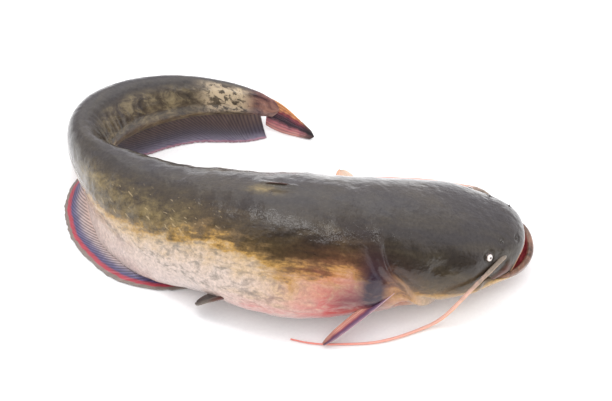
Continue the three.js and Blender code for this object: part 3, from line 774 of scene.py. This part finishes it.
def paint_body(piece, stations, kind, angle, row, column):
    """Stores the masks that place the skin's colours."""
    s = stations[row, column]
    turn = np.broadcast_to(angle, stations.shape)[row, column]
    k = kind[row]
    down = np.abs((turn - 90 + 180) % 360 - 180)  # degrees from the ridge of the back
    flank = (down - read(DARK_EDGE, s)) / DARK_FADE
    half = read(SECTIONS, s, 1) / 100 * TRUNK_HALF_WIDTH
    size = half + read(SECTIONS, s, 2) / 100 * TRUNK_RISE
    hide = (s / 100 * BODY_LENGTH, np.radians(down) * size / 2, half * np.cos(np.radians(turn)))
    lower = turn > 180
    crease = near(s - read(CREASE, down), 0.15, 0.22) * between(down, 72, 84, 112, 125)
    pocket = between(k, 0.0, 0.03, 0.10, 0.2) * between(down, 52, 64, 90, 96)
    worn_arm = 0.75 * between(s, 40, 47, 60, 66) * near(down, 60, 20)
    flush = 1.15 * near(s, 25.5, 4.8) * near(down, 106, 28) + 0.6 * near(s, 34, 3) * near(down, 120, 12)
    # Painted shade, dark purple, in the pit behind the pectoral fin's root and a little behind it.
    bruise = 1.15 * near(s, 22.2, 1.7) * near(down, 88, 32) + 0.6 * near(s, 25.3, 1.9) * near(down, 100, 14)
    for name, values in (
        ("hide", np.stack(hide, -1)),
        ("flank", flank),
        ("mottle", mix(1.0, 0.35, smooth(20, 12, s))),
        ("blotches", smooth(-0.1, 0.4, flank) * between(s, 24, 32, 56, 62) * (1 - smooth(105, 125, down))),
        ("tail", between(s, 87.5, 92, 95, 98) * between(down, 14, 36, 118, 150)),
        ("arm", smooth(66, 74, s) * smooth(35, 62, down)),
        ("worn", near(s, 35.2, 2.2) * near(turn, 100, 5) + worn_arm),
        ("scraped", between(s, 36, 40, 54, 60) * between(down, 30, 40, 80, 95)),
        ("flush", flush),
        ("blood", 0.8 * near(s, 25, 4) * near(down, 124, 9)),
        ("bruise", np.clip(bruise, 0, 1)),
        ("rosy_end", 0.7 * smooth(95, 98.5, s)),
        ("flap", 0.9 * near(s, 18.5, 1.2) * near(down, 118, 15)),
        ("pocket", 0.85 * pocket),
        ("crease", 0.55 * crease * smooth(-0.02, 0.0, k)),
        ("lower_lip", np.where(lower, between(k, -0.5, -0.42, 0.004, 0.03), 0)),
        ("lip_edge", np.where(lower, 0, between(k, -0.42, -0.36, -0.1, 0.008))),
        ("mouth", np.where(lower, 1 - smooth(-0.46, -0.38, k), 1 - smooth(-0.45, -0.4, k))),
    ):
        paint(piece, name, values)


class CATFISH_OT_body(bpy.types.Operator):
    """Models the body: jaws and mouth, head, trunk and tail, as one closed skin"""

    bl_idname = "catfish.body"
    bl_label = "Body"

    def execute(self, context):
        points, stations, kind, angle = body_points()
        points = shape_details(points, stations, kind, angle)
        piece, row, column = sheet_of("catfish_body", points)
        paint_body(piece, stations, kind, angle, row, column)
        close_up(piece)
        finish_piece(piece, ["body"], skin_material(context.scene.catfish_colours))
        return {"FINISHED"}


# ---------- eyes ----------
class CATFISH_OT_eyes(bpy.types.Operator):
    """Models the two eyes as balls with a bulging clear front"""

    bl_idname = "catfish.eyes"
    bl_label = "Eyes"

    def execute(self, context):
        material = eye_material()
        for side, level in (("left", 35), ("right", 145)):
            low, high = (Vector(corner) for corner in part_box("eye_" + side))
            _, out = surface_point(0.6, level)
            out = Vector(out)
            clear_selection()
            bpy.ops.mesh.primitive_uv_sphere_add(segments=48, ring_count=32, radius=(high - low).x / 2)
            piece = bpy.context.active_object
            piece.name = "catfish_eye_" + side
            turn = Vector((0, 0, 1)).rotation_difference(out).to_matrix().to_4x4()
            reach = np.array([v.co.z / ((high - low).x / 2) for v in piece.data.vertices])
            paint(piece, "out", np.degrees(np.arccos(np.clip(reach, -1, 1))) / 60)
            piece.data.transform(turn)
            piece.data.transform(Matrix.Translation((low + high) / 2))
            bpy.ops.object.shade_smooth()
            finish_piece(piece, ["eye_" + side], material)
        return {"FINISHED"}


# ---------- fins ----------
def blade(name, middle, half, masks):
    """A closed piece whose two faces lie half a thickness to each side of a middle sheet.

    The masks are painted on it: values for the middle sheet's rows and columns, by name.
    """
    along = np.gradient(middle, axis=0)
    out = np.gradient(middle, axis=1)
    normal = np.cross(along, out)
    normal /= np.maximum(np.linalg.norm(normal, axis=-1, keepdims=True), 1e-12)
    front = middle + normal * half[..., None]
    back = middle - normal * half[..., None]
    around = np.concatenate([front, back[:, ::-1], front[:, :1]], axis=1)
    start = around[:1].mean(1, keepdims=True).repeat(around.shape[1], 1)
    end = around[-1:].mean(1, keepdims=True).repeat(around.shape[1], 1)
    points = np.concatenate([start, around, end], axis=0)
    piece, row, column = sheet_of(name, points)
    count = middle.shape[1]
    fin_row = np.clip(row - 1, 0, middle.shape[0] - 1)
    fin_column = np.where(column < count, column, 2 * count - 1 - column)
    fin_column = np.where(column == 2 * count, 0, fin_column)
    for label, values in masks.items():
        paint(piece, label, np.broadcast_to(values, half.shape + values.shape[2:])[fin_row, fin_column])
    close_up(piece)
    return piece


ANAL_FIN_FROM = 43
ANAL_FIN_TO = 98.2
ANAL_FIN_LEAN = 7  # how far back the rays lean, in percent of the body's length
ANAL_FIN_BANDS = 34 * MM  # from the edge to where the fleshy root begins
FIN_FLOOR = 1.3 * MM
FIN_GAP = 0.3 * MM  # between a fin's underside and the floor
THINNEST = 0.15 * MM
TAIL_FIN_STATION = 99
TAIL_FIN_LENGTH = 54 * MM
DORSAL_STATION = 30.5
# The anal fin's edge: station, millimetres to the left of the spine.
ANAL_FIN_EDGE = [
    (43, -37), (44.7, -47), (47.7, -58.5), (50.5, -64.5), (53.5, -66), (56, -63), (60, -56), (62.2, -48),
    (64, -41), (65.8, -31), (68, -16), (71, 3), (73.5, 18), (76, 28), (79, 31), (83, 30), (88.6, 29.6),
    (92.2, 30.5), (95.6, 29), (98.2, 24),
]


class CATFISH_OT_anal_fin(bpy.types.Operator):
    """Models the long ribbon fin with its rays, its fleshy root and its ragged edge"""

    bl_idname = "catfish.anal_fin"
    bl_label = "Anal fin"

    def execute(self, context):
        generator = np.random.default_rng(7)
        count = context.scene.catfish_sizes.anal_rays
        columns, rows = count * 7 + 1, 30
        u = np.linspace(0, 1, columns)[:, None]
        v = np.linspace(0, 1, rows)[None, :]
        notches = generator.uniform(-1, 1, count * 2 + 1)
        ragged = np.interp(u[:, 0] * count * 2, np.arange(count * 2 + 1), notches)
        slant = ANAL_FIN_LEAN * v**1.1 * smooth(0, 0.2, u) ** 0.7 * (1 - 0.75 * smooth(0.75, 1, u))
        station = mix(ANAL_FIN_FROM, ANAL_FIN_TO, u) + slant
        station = np.minimum(station, ANAL_FIN_TO + 1.4 * v)
        root_left, keel = section(station, 270)
        edge_left = read(ANAL_FIN_EDGE, station) * MM
        reach = 1 + (ragged * 0.03)[:, None] * smooth(0.8, 1, v)
        rounded = np.sqrt(np.clip(1 - smooth(0.93, 1.0, u) ** 2 * 0.6, 0, 1))
        left = mix(root_left, edge_left, v * reach * rounded)
        width = np.abs(edge_left - root_left)
        height = mix(FIN_FLOOR, keel + 4 * MM, (1 - v) ** 1.7)
        rays = (u * count) % 1
        ridge = near(rays, 0.5, 0.22)
        ripple = 0.5 * MM * np.sin(u * 160 + v * 2) * smooth(0.5, 1, v)
        middle = place(station, left, height + np.abs(ripple), ORIGIN)
        half = mix(2.2, 0.35, v**0.6) * MM + ridge * 0.35 * MM * (1 - 0.6 * v)
        half = half * smooth(0, 0.02, u) ** 0.5 * smooth(1, 0.98, u) ** 0.5 + THINNEST
        middle[..., 2] += np.maximum(THINNEST - (middle[..., 2] - half), 0)
        from_edge = (1 - v) * width
        band = from_edge / ANAL_FIN_BANDS
        tailward = smooth(66, 74, station)
        show = between(band, 0.12, 0.3, 0.72, 0.8)
        fin = np.broadcast_arrays(station / 100 * BODY_LENGTH, from_edge * 0.4, 0 * station)
        masks = {
            "band": np.clip(band, 0, 1),
            "ray": ridge,
            "ray_show": mix(show, np.clip(show * 1.3, 0, 1), tailward),
            "tailward": tailward,
            "fin": np.stack(fin, -1),
        }
        piece = blade("catfish_anal_fin", middle, half, masks)
        finish_piece(piece, ["anal_fin"], anal_fin_material())
        return {"FINISHED"}


class CATFISH_OT_tail_fin(bpy.types.Operator):
    """Models the tail fin, closed like a wet brush"""

    bl_idname = "catfish.tail_fin"
    bl_label = "Tail fin"

    def execute(self, context):
        rays = 11
        across, along = rays * 8 + 1, 60
        u = np.linspace(0, 1, across)[:, None]
        v = np.linspace(0, 1, along)[None, :]
        top_left, top = section(100, 90)
        keel_left, keel = section(100, 270)
        length = TAIL_FIN_LENGTH * (1 - 0.12 * np.abs(2 * u - 0.75) ** 1.5)
        station = TAIL_FIN_STATION + v * percent(length)
        half_height = mix(16, 3.0, v**1.1) * (1 + 0.3 * np.sin(np.pi * v)) * MM
        middle_height = mix((top + keel) / 2 - 6 * MM, 5 * MM, v**0.9)
        side = 2 * u - 1
        height = np.maximum(middle_height + side * half_height, FIN_FLOOR)
        left = (top_left + keel_left) / 2 + side * ((top_left - keel_left) / 2)
        ridge = near((u * rays) % 1, 0.5, 0.26)
        fold = 1.3 * MM * np.sin(u * 11 + v * 1.5) * np.sin(np.pi * np.clip(v * 0.8 + 0.1, 0, 1))
        middle = place(station, left + fold, height, ORIGIN)
        half = mix(1.9, 0.5, v) * MM * (0.55 + 0.45 * ridge)
        half = half * (0.3 + 0.7 * np.sqrt(np.clip(1 - side**6, 0, 1)))
        middle[..., 2] = np.maximum(middle[..., 2], half + FIN_GAP)
        masks = {"across": u.T, "along": v.T, "ray": ridge.T}
        piece = blade("catfish_tail_fin", middle.transpose(1, 0, 2), half.T, masks)
        material = fin_material(
            "wet_tail_fin",
            (
                (0.0, "d09a8c"), (1.0, "dd9a62"), (0.24, "b86a72"), (0.38, "3a2838"), (0.62, "4a2636"),
                (0.74, "8a3a44"), (0.84, "d8935c"),
            ),
            "2a1f28",
            ((0.0, 0.85), (0.72, 1.0), (0.86, 0.22), (1.0, 0.12)),
        )
        finish_piece(piece, ["tail_fin"], material)
        return {"FINISHED"}


class CATFISH_OT_dorsal_fin(bpy.types.Operator):
    """Models the small dorsal fin, folded back into its groove"""

    bl_idname = "catfish.dorsal_fin"
    bl_label = "Dorsal fin"

    def execute(self, context):
        u = np.linspace(0, 1, 41)[:, None]
        v = np.linspace(0, 1, 30)[None, :]
        back = 16 * MM * u * (1 - v) + mix(29 * MM, 40 * MM, u) * v
        station = DORSAL_STATION + percent(back)
        left, height = section(station, 90)
        rise = (-1.6 + 5.4 * np.sin(v * math.pi * 0.62) * mix(1, 0.5, u)) * MM
        ridge = near((u * 5) % 1, 0.5, 0.28)
        middle = place(station, left - 2.5 * MM * v - 1.0 * MM, height + rise, ORIGIN)
        half = mix(1.2, 0.35, v) * MM * (0.6 + 0.4 * ridge)
        piece = blade("catfish_dorsal_fin", middle, half, {"across": u, "along": v, "ray": ridge})
        material = fin_material(
            "wet_dorsal_fin",
            ((0.0, "5a4038"), (1.0, "6d5247"), (0.5, "46332d")),
            "1e1714",
            ((0.0, 0.6), (1.0, 1.0)),
        )
        finish_piece(piece, ["dorsal_fin"], material)
        return {"FINISHED"}


CURL = 2 * MM  # how far a paired fin's thin side bows up


def paddle(name, root, tip, width, sideways, rays, spine_side):
    """A folded fan of rays from a root to a tip, with a thick first ray along one side."""
    u = np.linspace(0, 1, rays * 8 + 1)[:, None]
    v = np.linspace(0, 1, 64)[None, :]
    open_ = width * (0.42 + 0.58 * np.sin(np.pi * np.minimum(0.18 + 0.66 * v, 1)))
    end = np.where(v > 0.8, np.sqrt(np.clip(1 - ((v - 0.8) / 0.2) ** 2 * 0.85, 0, 1)), 1)
    along = tip - root
    first = 1 - u if spine_side > 0 else u
    middle = root + along * v[..., None] + sideways * ((u - 0.5) * open_ * end)[..., None]
    bow = np.sin(np.pi * v) * CURL * (1 - first) + 1.2 * MM * np.sin(first * 9) * v * (1 - first)
    middle = middle + np.array([0, 0, 1.0]) * bow[..., None]
    ridge = near((first * rays) % 1, 0.5, 0.25)
    spine = near(first, 0.12, 0.13)
    half = (mix(1.0, 0.35, v) * (0.55 + 0.45 * ridge) + spine * mix(1.9, 0.5, v)) * MM
    half = half * (0.25 + 0.75 * np.sqrt(np.clip(1 - (2 * first - 1) ** 6, 0, 1)))
    middle[..., 2] = np.maximum(middle[..., 2], half + FIN_GAP)
    masks = {"across": first.T, "along": v.T, "ray": ridge.T}
    return blade(name, middle.transpose(1, 0, 2), half.T, masks)


ROOT_SUNK = 3 * MM  # a paired fin's root lies this far inside the skin
ROOT_OVERLAP = 6 * MM  # and starts this far behind it, against the fin's reach


def paired_fin(name, station, angle, sweep, length, width, rest, rays, spine_side):
    """A fin that reaches back from its root on the flank, and out from it by the sweep, to its rest."""
    side = 1 if math.cos(math.radians(angle)) > 0 else -1
    outward = place(station, side, 0) - place(station, 0, 0)
    root = skin(station, angle) - outward * ROOT_SUNK
    backward = place(station + 1, 0, 0) - place(station, 0, 0)
    backward = backward / np.linalg.norm(backward)
    level = math.sqrt(length**2 - (root[2] - rest) ** 2)
    reach = outward * math.sin(math.radians(sweep)) + backward * math.cos(math.radians(sweep))
    tip = root + reach * level
    tip[2] = rest
    sideways = np.cross([0, 0, 1], reach) * side
    root = root + (root - tip) * (ROOT_OVERLAP / length)
    return paddle(name, root, tip, width, sideways, rays, spine_side)


class CATFISH_OT_paired_fins(bpy.types.Operator):
    """Models the two pectoral fins with their stout spines, and the two pelvic fins"""

    bl_idname = "catfish.paired_fins"
    bl_label = "Paired fins"

    def execute(self, context):
        pectoral = fin_material(
            "wet_pectoral_fin",
            (
                (0.0, "e0a68c"), (1.0, "c4a0a6"), (0.36, "d68f80"), (0.5, "a45a66"), (0.66, "6e4668"),
                (0.86, "8a6c84"),
            ),
            "3c2c40",
            ((0.0, 1.0), (0.75, 1.0), (0.9, 0.8), (1.0, 0.62)),
        )
        pale_pectoral = fin_material(
            "wet_pale_pectoral_fin",
            ((0.0, "dc9a70"), (1.0, "dcc0a6"), (0.25, "dca884"), (0.6, "d6bda6")),
            "a08070",
            ((0.0, 1.0), (1.0, 0.95)),
        )
        pelvic = fin_material(
            "wet_pelvic_fin",
            ((0.0, "6c6054"), (1.0, "5a4038"), (0.5, "3c3731")),
            "221f1c",
            ((0.0, "c86460"), (1.0, 0.9), (0.3, "e0b0a8"), (0.5, 1.0)),
        )
        # Node, station and angle of the root, sweep, length, width and height at rest in millimetres,
        # rays, the side that the thick ray is on and the material.
        fins = (
            ("pectoral_fin_right", 20.5, 186, 12, 78, 10.5, 4.85, 8, 1, pectoral),
            ("pectoral_fin_left", 20.5, -6, 88, 78, 22, 14, 8, 1, pale_pectoral),
            ("pelvic_fin_right", 38, 214, 3, 32, 17, 11, 7, -1, pelvic),
            ("pelvic_fin_left", 38, -46, 3, 34, 19, 2.2, 7, -1, pelvic),
        )
        for node, station, angle, sweep, length, width, rest, rays, spine_side, material in fins:
            sizes = (length * MM, width * MM, rest * MM)
            piece = paired_fin("catfish_" + node, station, angle, sweep, *sizes, rays, spine_side)
            finish_piece(piece, [node], material)
        return {"FINISHED"}


# ---------- barbels ----------
# Whisker centrelines: station, percent of the trunk's half width to the left, height in percent of the drop.
RIGHT_WHISKER = [
    (2.1, -32, 72), (3.1, -50, 82), (4.4, -63, 84), (6.8, -80, 75), (9.3, -95, 64), (11.2, -102, 45),
    (12.7, -102.5, 24), (13.8, -102, 9), (15.6, -104, 3.6), (18.9, -112, 2.8), (22.2, -116.5, 2.2),
    (25.4, -113.5, 1.7), (28.5, -111, 1.1), (30.6, -104, 1),
]
LEFT_WHISKER = [
    (2.1, 32, 72), (3, 50, 82), (3.8, 68, 80), (4.6, 90, 66), (5.4, 112, 46), (6.2, 134, 26), (7, 151, 11),
    (8.2, 163, 4), (10, 170, 3), (12.5, 178, 2.2), (15.5, 187, 1.6), (18, 190, 1.2), (20, 188, 1),
]
WHISKER_ROOT_RADIUS = 3 * MM
WHISKER_TIP_RADIUS = 0.8 * MM
BARBEL_SIDES = 32


def smooth_route(points, count):
    """Evenly spaced points on a smooth curve through a route's points."""
    points = np.asarray(points, float)
    points = np.concatenate([[2 * points[0] - points[1]], points, [2 * points[-1] - points[-2]]])
    dense = []
    for a, b, c, d in zip(points, points[1:], points[2:], points[3:]):
        t = np.linspace(0, 1, 24, endpoint=False)[:, None]
        bend = (2 * a - 5 * b + 4 * c - d) * t**2 + (3 * b - a - 3 * c + d) * t**3
        dense.append(0.5 * (2 * b + (c - a) * t + bend))
    dense = np.concatenate(dense + [points[-2:-1]])
    walked = np.concatenate([[0], np.cumsum(np.linalg.norm(np.diff(dense, axis=0), axis=1))])
    even = np.linspace(0, walked[-1], count)
    route = np.stack([np.interp(even, walked, dense[:, i]) for i in range(3)], -1)
    for _ in range(3 * count // 10):
        route[1:-1] = (route[:-2] + route[1:-1] + route[2:]) / 3
    return route


def barbel(name, route, root_radius, tip_radius, count=150):
    """A tapering round barbel along a route, with a groove along each side."""
    middle = smooth_route(route, count)
    along = np.gradient(middle, axis=0)
    along /= np.linalg.norm(along, axis=1, keepdims=True)
    side = np.cross([0, 0, 1], along)
    side /= np.maximum(np.linalg.norm(side, axis=1, keepdims=True), 1e-9)
    up = np.cross(along, side)
    turn = np.radians(np.linspace(0, 360, BARBEL_SIDES + 1))
    share = np.linspace(0, 1, count)
    radius = mix(root_radius, tip_radius, share**0.7)
    radius = radius * (1 + 0.04 * np.sin(share * 90))
    groove = 1 - 0.14 * near(np.cos(turn), -1, 0.35) - 0.14 * near(np.cos(turn), 1, 0.35)
    ring = (radius[:, None] * groove[None, :])[..., None]
    round_ = side[:, None] * np.cos(turn)[:, None] + up[:, None] * np.sin(turn)[:, None]
    points = middle[:, None] + ring * round_
    end, ahead = middle[-1], along[-1] * radius[-1]
    cap = [end + ahead * math.sin(a) + (points[-1] - end) * math.cos(a) for a in (0.5, 1.0, 1.3)]
    tip = np.repeat((end + ahead)[None], BARBEL_SIDES + 1, 0)
    root = np.repeat(middle[:1], BARBEL_SIDES + 1, 0)
    points = np.concatenate([root[None], points, np.array(cap), tip[None]])
    piece, row, column = sheet_of(name, points)
    paint(piece, "along", np.clip((row - 1) / count, 0, 1))
    paint(piece, "under", smooth(0.25, -0.25, np.sin(turn[column])))
    close_up(piece)
    return piece


class CATFISH_OT_whiskers(bpy.types.Operator):
    """Models the two long whiskers of the upper jaw"""

    bl_idname = "catfish.whiskers"
    bl_label = "Whiskers"

    def execute(self, context):
        material = barbel_material()
        sizes = context.scene.catfish_sizes
        for side, table in (("right", RIGHT_WHISKER), ("left", LEFT_WHISKER)):
            station, across, up = (np.array(column, float) for column in zip(*table))
            height = WHISKER_TIP_RADIUS + up / 100 * TRUNK_DROP
            route = place(station, across / 100 * TRUNK_HALF_WIDTH, height, ORIGIN)
            piece = barbel("catfish_whisker_" + side, route, sizes.whisker_root, sizes.whisker_tip)
            finish_piece(piece, ["whisker_" + side], material)
        return {"FINISHED"}


class CATFISH_OT_chin_barbels(bpy.types.Operator):
    """Models the four short barbels under the chin"""

    bl_idname = "catfish.chin_barbels"
    bl_label = "Chin barbels"

    def execute(self, context):
        material = barbel_material()
        root_radius = context.scene.catfish_sizes.chin_barbel_root
        floor = 1.3 * MM
        for pair, start, off, length in (("front", 2.2, 9 * MM, 30 * MM), ("rear", 3.6, 20 * MM, 42 * MM)):
            for side, sign in (("left", 1), ("right", -1)):
                share = np.array([0, 0.1, 0.3, 0.62, 1.0])
                drift = np.array([0, 0, 1, 4, 10]) * MM
                height = np.array([15 * MM, 5 * MM, floor + 0.6 * MM, floor, floor])
                route = place(start + percent(share * length), sign * (off + drift), height, ORIGIN)
                piece = barbel(f"catfish_chin_barbel_{pair}_{side}", route, root_radius, 0.7 * MM, 60)
                finish_piece(piece, [f"chin_barbel_{pair}_{side}"], material)
        return {"FINISHED"}


# ---------- the stage ----------
FLOOR_SIZE = 14
FLOOR_DROP = 0.05 * MM  # the floor lies this far below the belly


class CATFISH_OT_stage(bpy.types.Operator):
    """Lays the white floor and sets the soft lights and the camera"""

    bl_idname = "catfish.stage"
    bl_label = "Stage"

    def execute(self, context):
        stage = context.scene.catfish_stage
        clear_selection()
        bpy.ops.mesh.primitive_plane_add(size=FLOOR_SIZE, location=(0, 0, 0))
        floor = bpy.context.active_object
        floor.name = "floor"
        floor.data.transform(Matrix.Translation((0, 0, -FLOOR_DROP)))
        floor.data.materials.append(floor_material())
        self.light("sky_panel", (0.1, 1.2, 1.5), (1.9, 1.3), stage.panel_power)
        self.light("top_panel", (-0.2, 0.1, 1.9), (1.4, 1.2), stage.top_power)
        self.light("strip", (-0.05, -0.1, 1.3), (1.5, 0.05), stage.strip_power)
        self.world(context, stage.sky_strength)
        self.camera(context, stage)
        context.scene.view_settings.view_transform = "Standard"
        return {"FINISHED"}

    def light(self, name, position, size, power):
        data = bpy.data.lights.new(name, "AREA")
        data.shape = "RECTANGLE"
        data.size, data.size_y = size
        data.energy = power
        lamp = bpy.data.objects.new(name, data)
        bpy.context.collection.objects.link(lamp)
        lamp.location = position
        aim = Vector((0, 0, 0.05)) - Vector(position)
        lamp.rotation_euler = aim.to_track_quat("-Z", "Y").to_euler()

    def world(self, context, strength):
        """A white studio: even light, but what the wet skin mirrors is bright overhead and dark in front."""
        world = bpy.data.worlds.new("white_studio")
        world.use_nodes = True
        tree = world.node_tree
        tree.nodes.clear()
        direction = add(tree, "ShaderNodeTexCoord", "Generated", {})
        x, y, z = (add(tree, "ShaderNodeSeparateXYZ", axis, {}, {0: direction}) for axis in "XYZ")
        aside = add(tree, "ShaderNodeMath", 0, {"operation": "ABSOLUTE"}, {0: x})
        rear = add(tree, *TIMES, {0: y, 1: 0.9})
        sides = add(tree, *TIMES, {0: aside, 1: 0.45})
        above = add(tree, *TIMES, {0: z, 1: 0.25})
        overhead = add(tree, *PLUS, {0: add(tree, *PLUS, {0: rear, 1: sides}), 1: above})
        stops = ((0.0, "3a3836"), (1.0, "a3a0a8"), (0.10, "4c494a"), (0.24, "aeaab0"))
        mirrored = add(tree, *RAMP, {"Fac": overhead}, stops)
        colour = (0.62, 0.62, 0.63, 1)
        for ray, seen in (("Is Glossy Ray", mirrored), ("Is Camera Ray", (0.52, 0.52, 0.52, 1))):
            colour = add(tree, *OVER, {0: add(tree, "ShaderNodeLightPath", ray, {}), 6: colour, 7: seen})
        background = add(tree, "ShaderNodeBackground", 0, {}, {"Color": colour, "Strength": strength})
        add(tree, "ShaderNodeOutputWorld", None, {}, {"Surface": background})
        context.scene.world = world

    def camera(self, context, stage):
        data = bpy.data.cameras.new("camera")
        data.lens = stage.lens
        data.sensor_width = 36
        camera = bpy.data.objects.new("camera", data)
        bpy.context.collection.objects.link(camera)
        tilt = stage.elevation
        target = Vector(ORIGIN) + Vector(stage.target)
        back = Vector((0, -math.cos(tilt), math.sin(tilt)))
        camera.location = target + back * stage.distance
        camera.rotation_euler = (math.pi / 2 - tilt, 0, 0)
        data.clip_start, data.clip_end = 0.05, 60
        context.scene.camera = camera


# ---------- settings and panel ----------
def colour_setting(name, description, code):
    look = {"subtype": "COLOR", "default": linear(code), "min": 0, "max": 1}
    return bpy.props.FloatVectorProperty(name=name, description=description, **look)


def length_setting(name, description, default):
    return bpy.props.FloatProperty(name=name, description=description, default=default, min=0, unit="LENGTH")


def power_setting(name, description, default):
    return bpy.props.FloatProperty(name=name, description=description, default=default, min=0, unit="POWER")


class CatfishColours(bpy.types.PropertyGroup):
    """The colours of the skin."""

    olive: colour_setting("Olive clouds", "Lighter clouds on the back", "524a3a")
    blotch: colour_setting("Grey blotches", "Blotches on the lower flank", "6a6459")
    flush: colour_setting("Flush", "Blood under the skin of the belly", "c0504a")
    # Painted shade: the dark purple laid in the pit behind the pectoral fin's root.
    bruise: colour_setting("Pit shade", "Purple skin at the pectoral fin's root", "2f1e2b")


class CatfishSizes(bpy.types.PropertyGroup):
    """Sizes that can change without leaving the frame."""

    whisker_root: length_setting("Whisker root", "Radius of a whisker at the lip", WHISKER_ROOT_RADIUS)
    whisker_tip: length_setting("Whisker tip", "Radius of a whisker at its end", WHISKER_TIP_RADIUS)
    chin_barbel_root: length_setting("Chin barbel root", "Radius of a chin barbel at the lip", 1.1 * MM)
    anal_rays: bpy.props.IntProperty(
        name="Anal fin rays", description="How many rays hold the long fin", default=92, min=20, max=120
    )


class CatfishStage(bpy.types.PropertyGroup):
    """The lights and the camera."""

    sky_strength: bpy.props.FloatProperty(
        name="Studio", description="Strength of the white studio", default=2.15, min=0
    )
    panel_power: power_setting("Rear panel", "Power of the large panel behind the fish", 6)
    top_power: power_setting("Top panel", "Power of the panel above the fish", 5)
    strip_power: power_setting("Strip", "Power of the narrow light that glints on the flank", 3)
    lens: bpy.props.FloatProperty(
        name="Lens", description="Focal length in millimetres", default=100, min=10
    )
    distance: length_setting("Distance", "From the camera to the target", 1.7)
    elevation: bpy.props.FloatProperty(
        name="Elevation", description="Angle of the view above the floor", default=math.radians(45),
        subtype="ANGLE",
    )
    target: bpy.props.FloatVectorProperty(
        name="Target",
        description="The point that the camera looks at, from the upper lip's place on the floor",
        default=(-0.21, 0.054, 0.03),
        subtype="TRANSLATION",
    )


OPERATORS = (
    CATFISH_OT_stage,
    CATFISH_OT_body,
    CATFISH_OT_eyes,
    CATFISH_OT_anal_fin,
    CATFISH_OT_tail_fin,
    CATFISH_OT_dorsal_fin,
    CATFISH_OT_paired_fins,
    CATFISH_OT_whiskers,
    CATFISH_OT_chin_barbels,
)


class CATFISH_PT_panel(bpy.types.Panel):
    """Lists the fish's pieces and settings"""

    bl_label = "Catfish"
    bl_idname = "CATFISH_PT_panel"
    bl_space_type = "VIEW_3D"
    bl_region_type = "UI"
    bl_category = "Catfish"

    def draw(self, context):
        for operator in OPERATORS:
            self.layout.operator(operator.bl_idname)
        scene = context.scene
        for group in (scene.catfish_colours, scene.catfish_sizes, scene.catfish_stage):
            box = self.layout.box()
            for name in group.__annotations__:
                box.prop(group, name)


CLASSES = (CatfishColours, CatfishSizes, CatfishStage, *OPERATORS, CATFISH_PT_panel)


def register():
    for item in CLASSES:
        bpy.utils.register_class(item)
    bpy.types.Scene.catfish_colours = bpy.props.PointerProperty(type=CatfishColours)
    bpy.types.Scene.catfish_sizes = bpy.props.PointerProperty(type=CatfishSizes)
    bpy.types.Scene.catfish_stage = bpy.props.PointerProperty(type=CatfishStage)


def unregister():
    del bpy.types.Scene.catfish_stage
    del bpy.types.Scene.catfish_sizes
    del bpy.types.Scene.catfish_colours
    for item in reversed(CLASSES):
        bpy.utils.unregister_class(item)


def main():
    register()
    for operator in OPERATORS:
        group, name = operator.bl_idname.split(".")
        getattr(getattr(bpy.ops, group), name)()


if __name__ == "__main__":
    main()
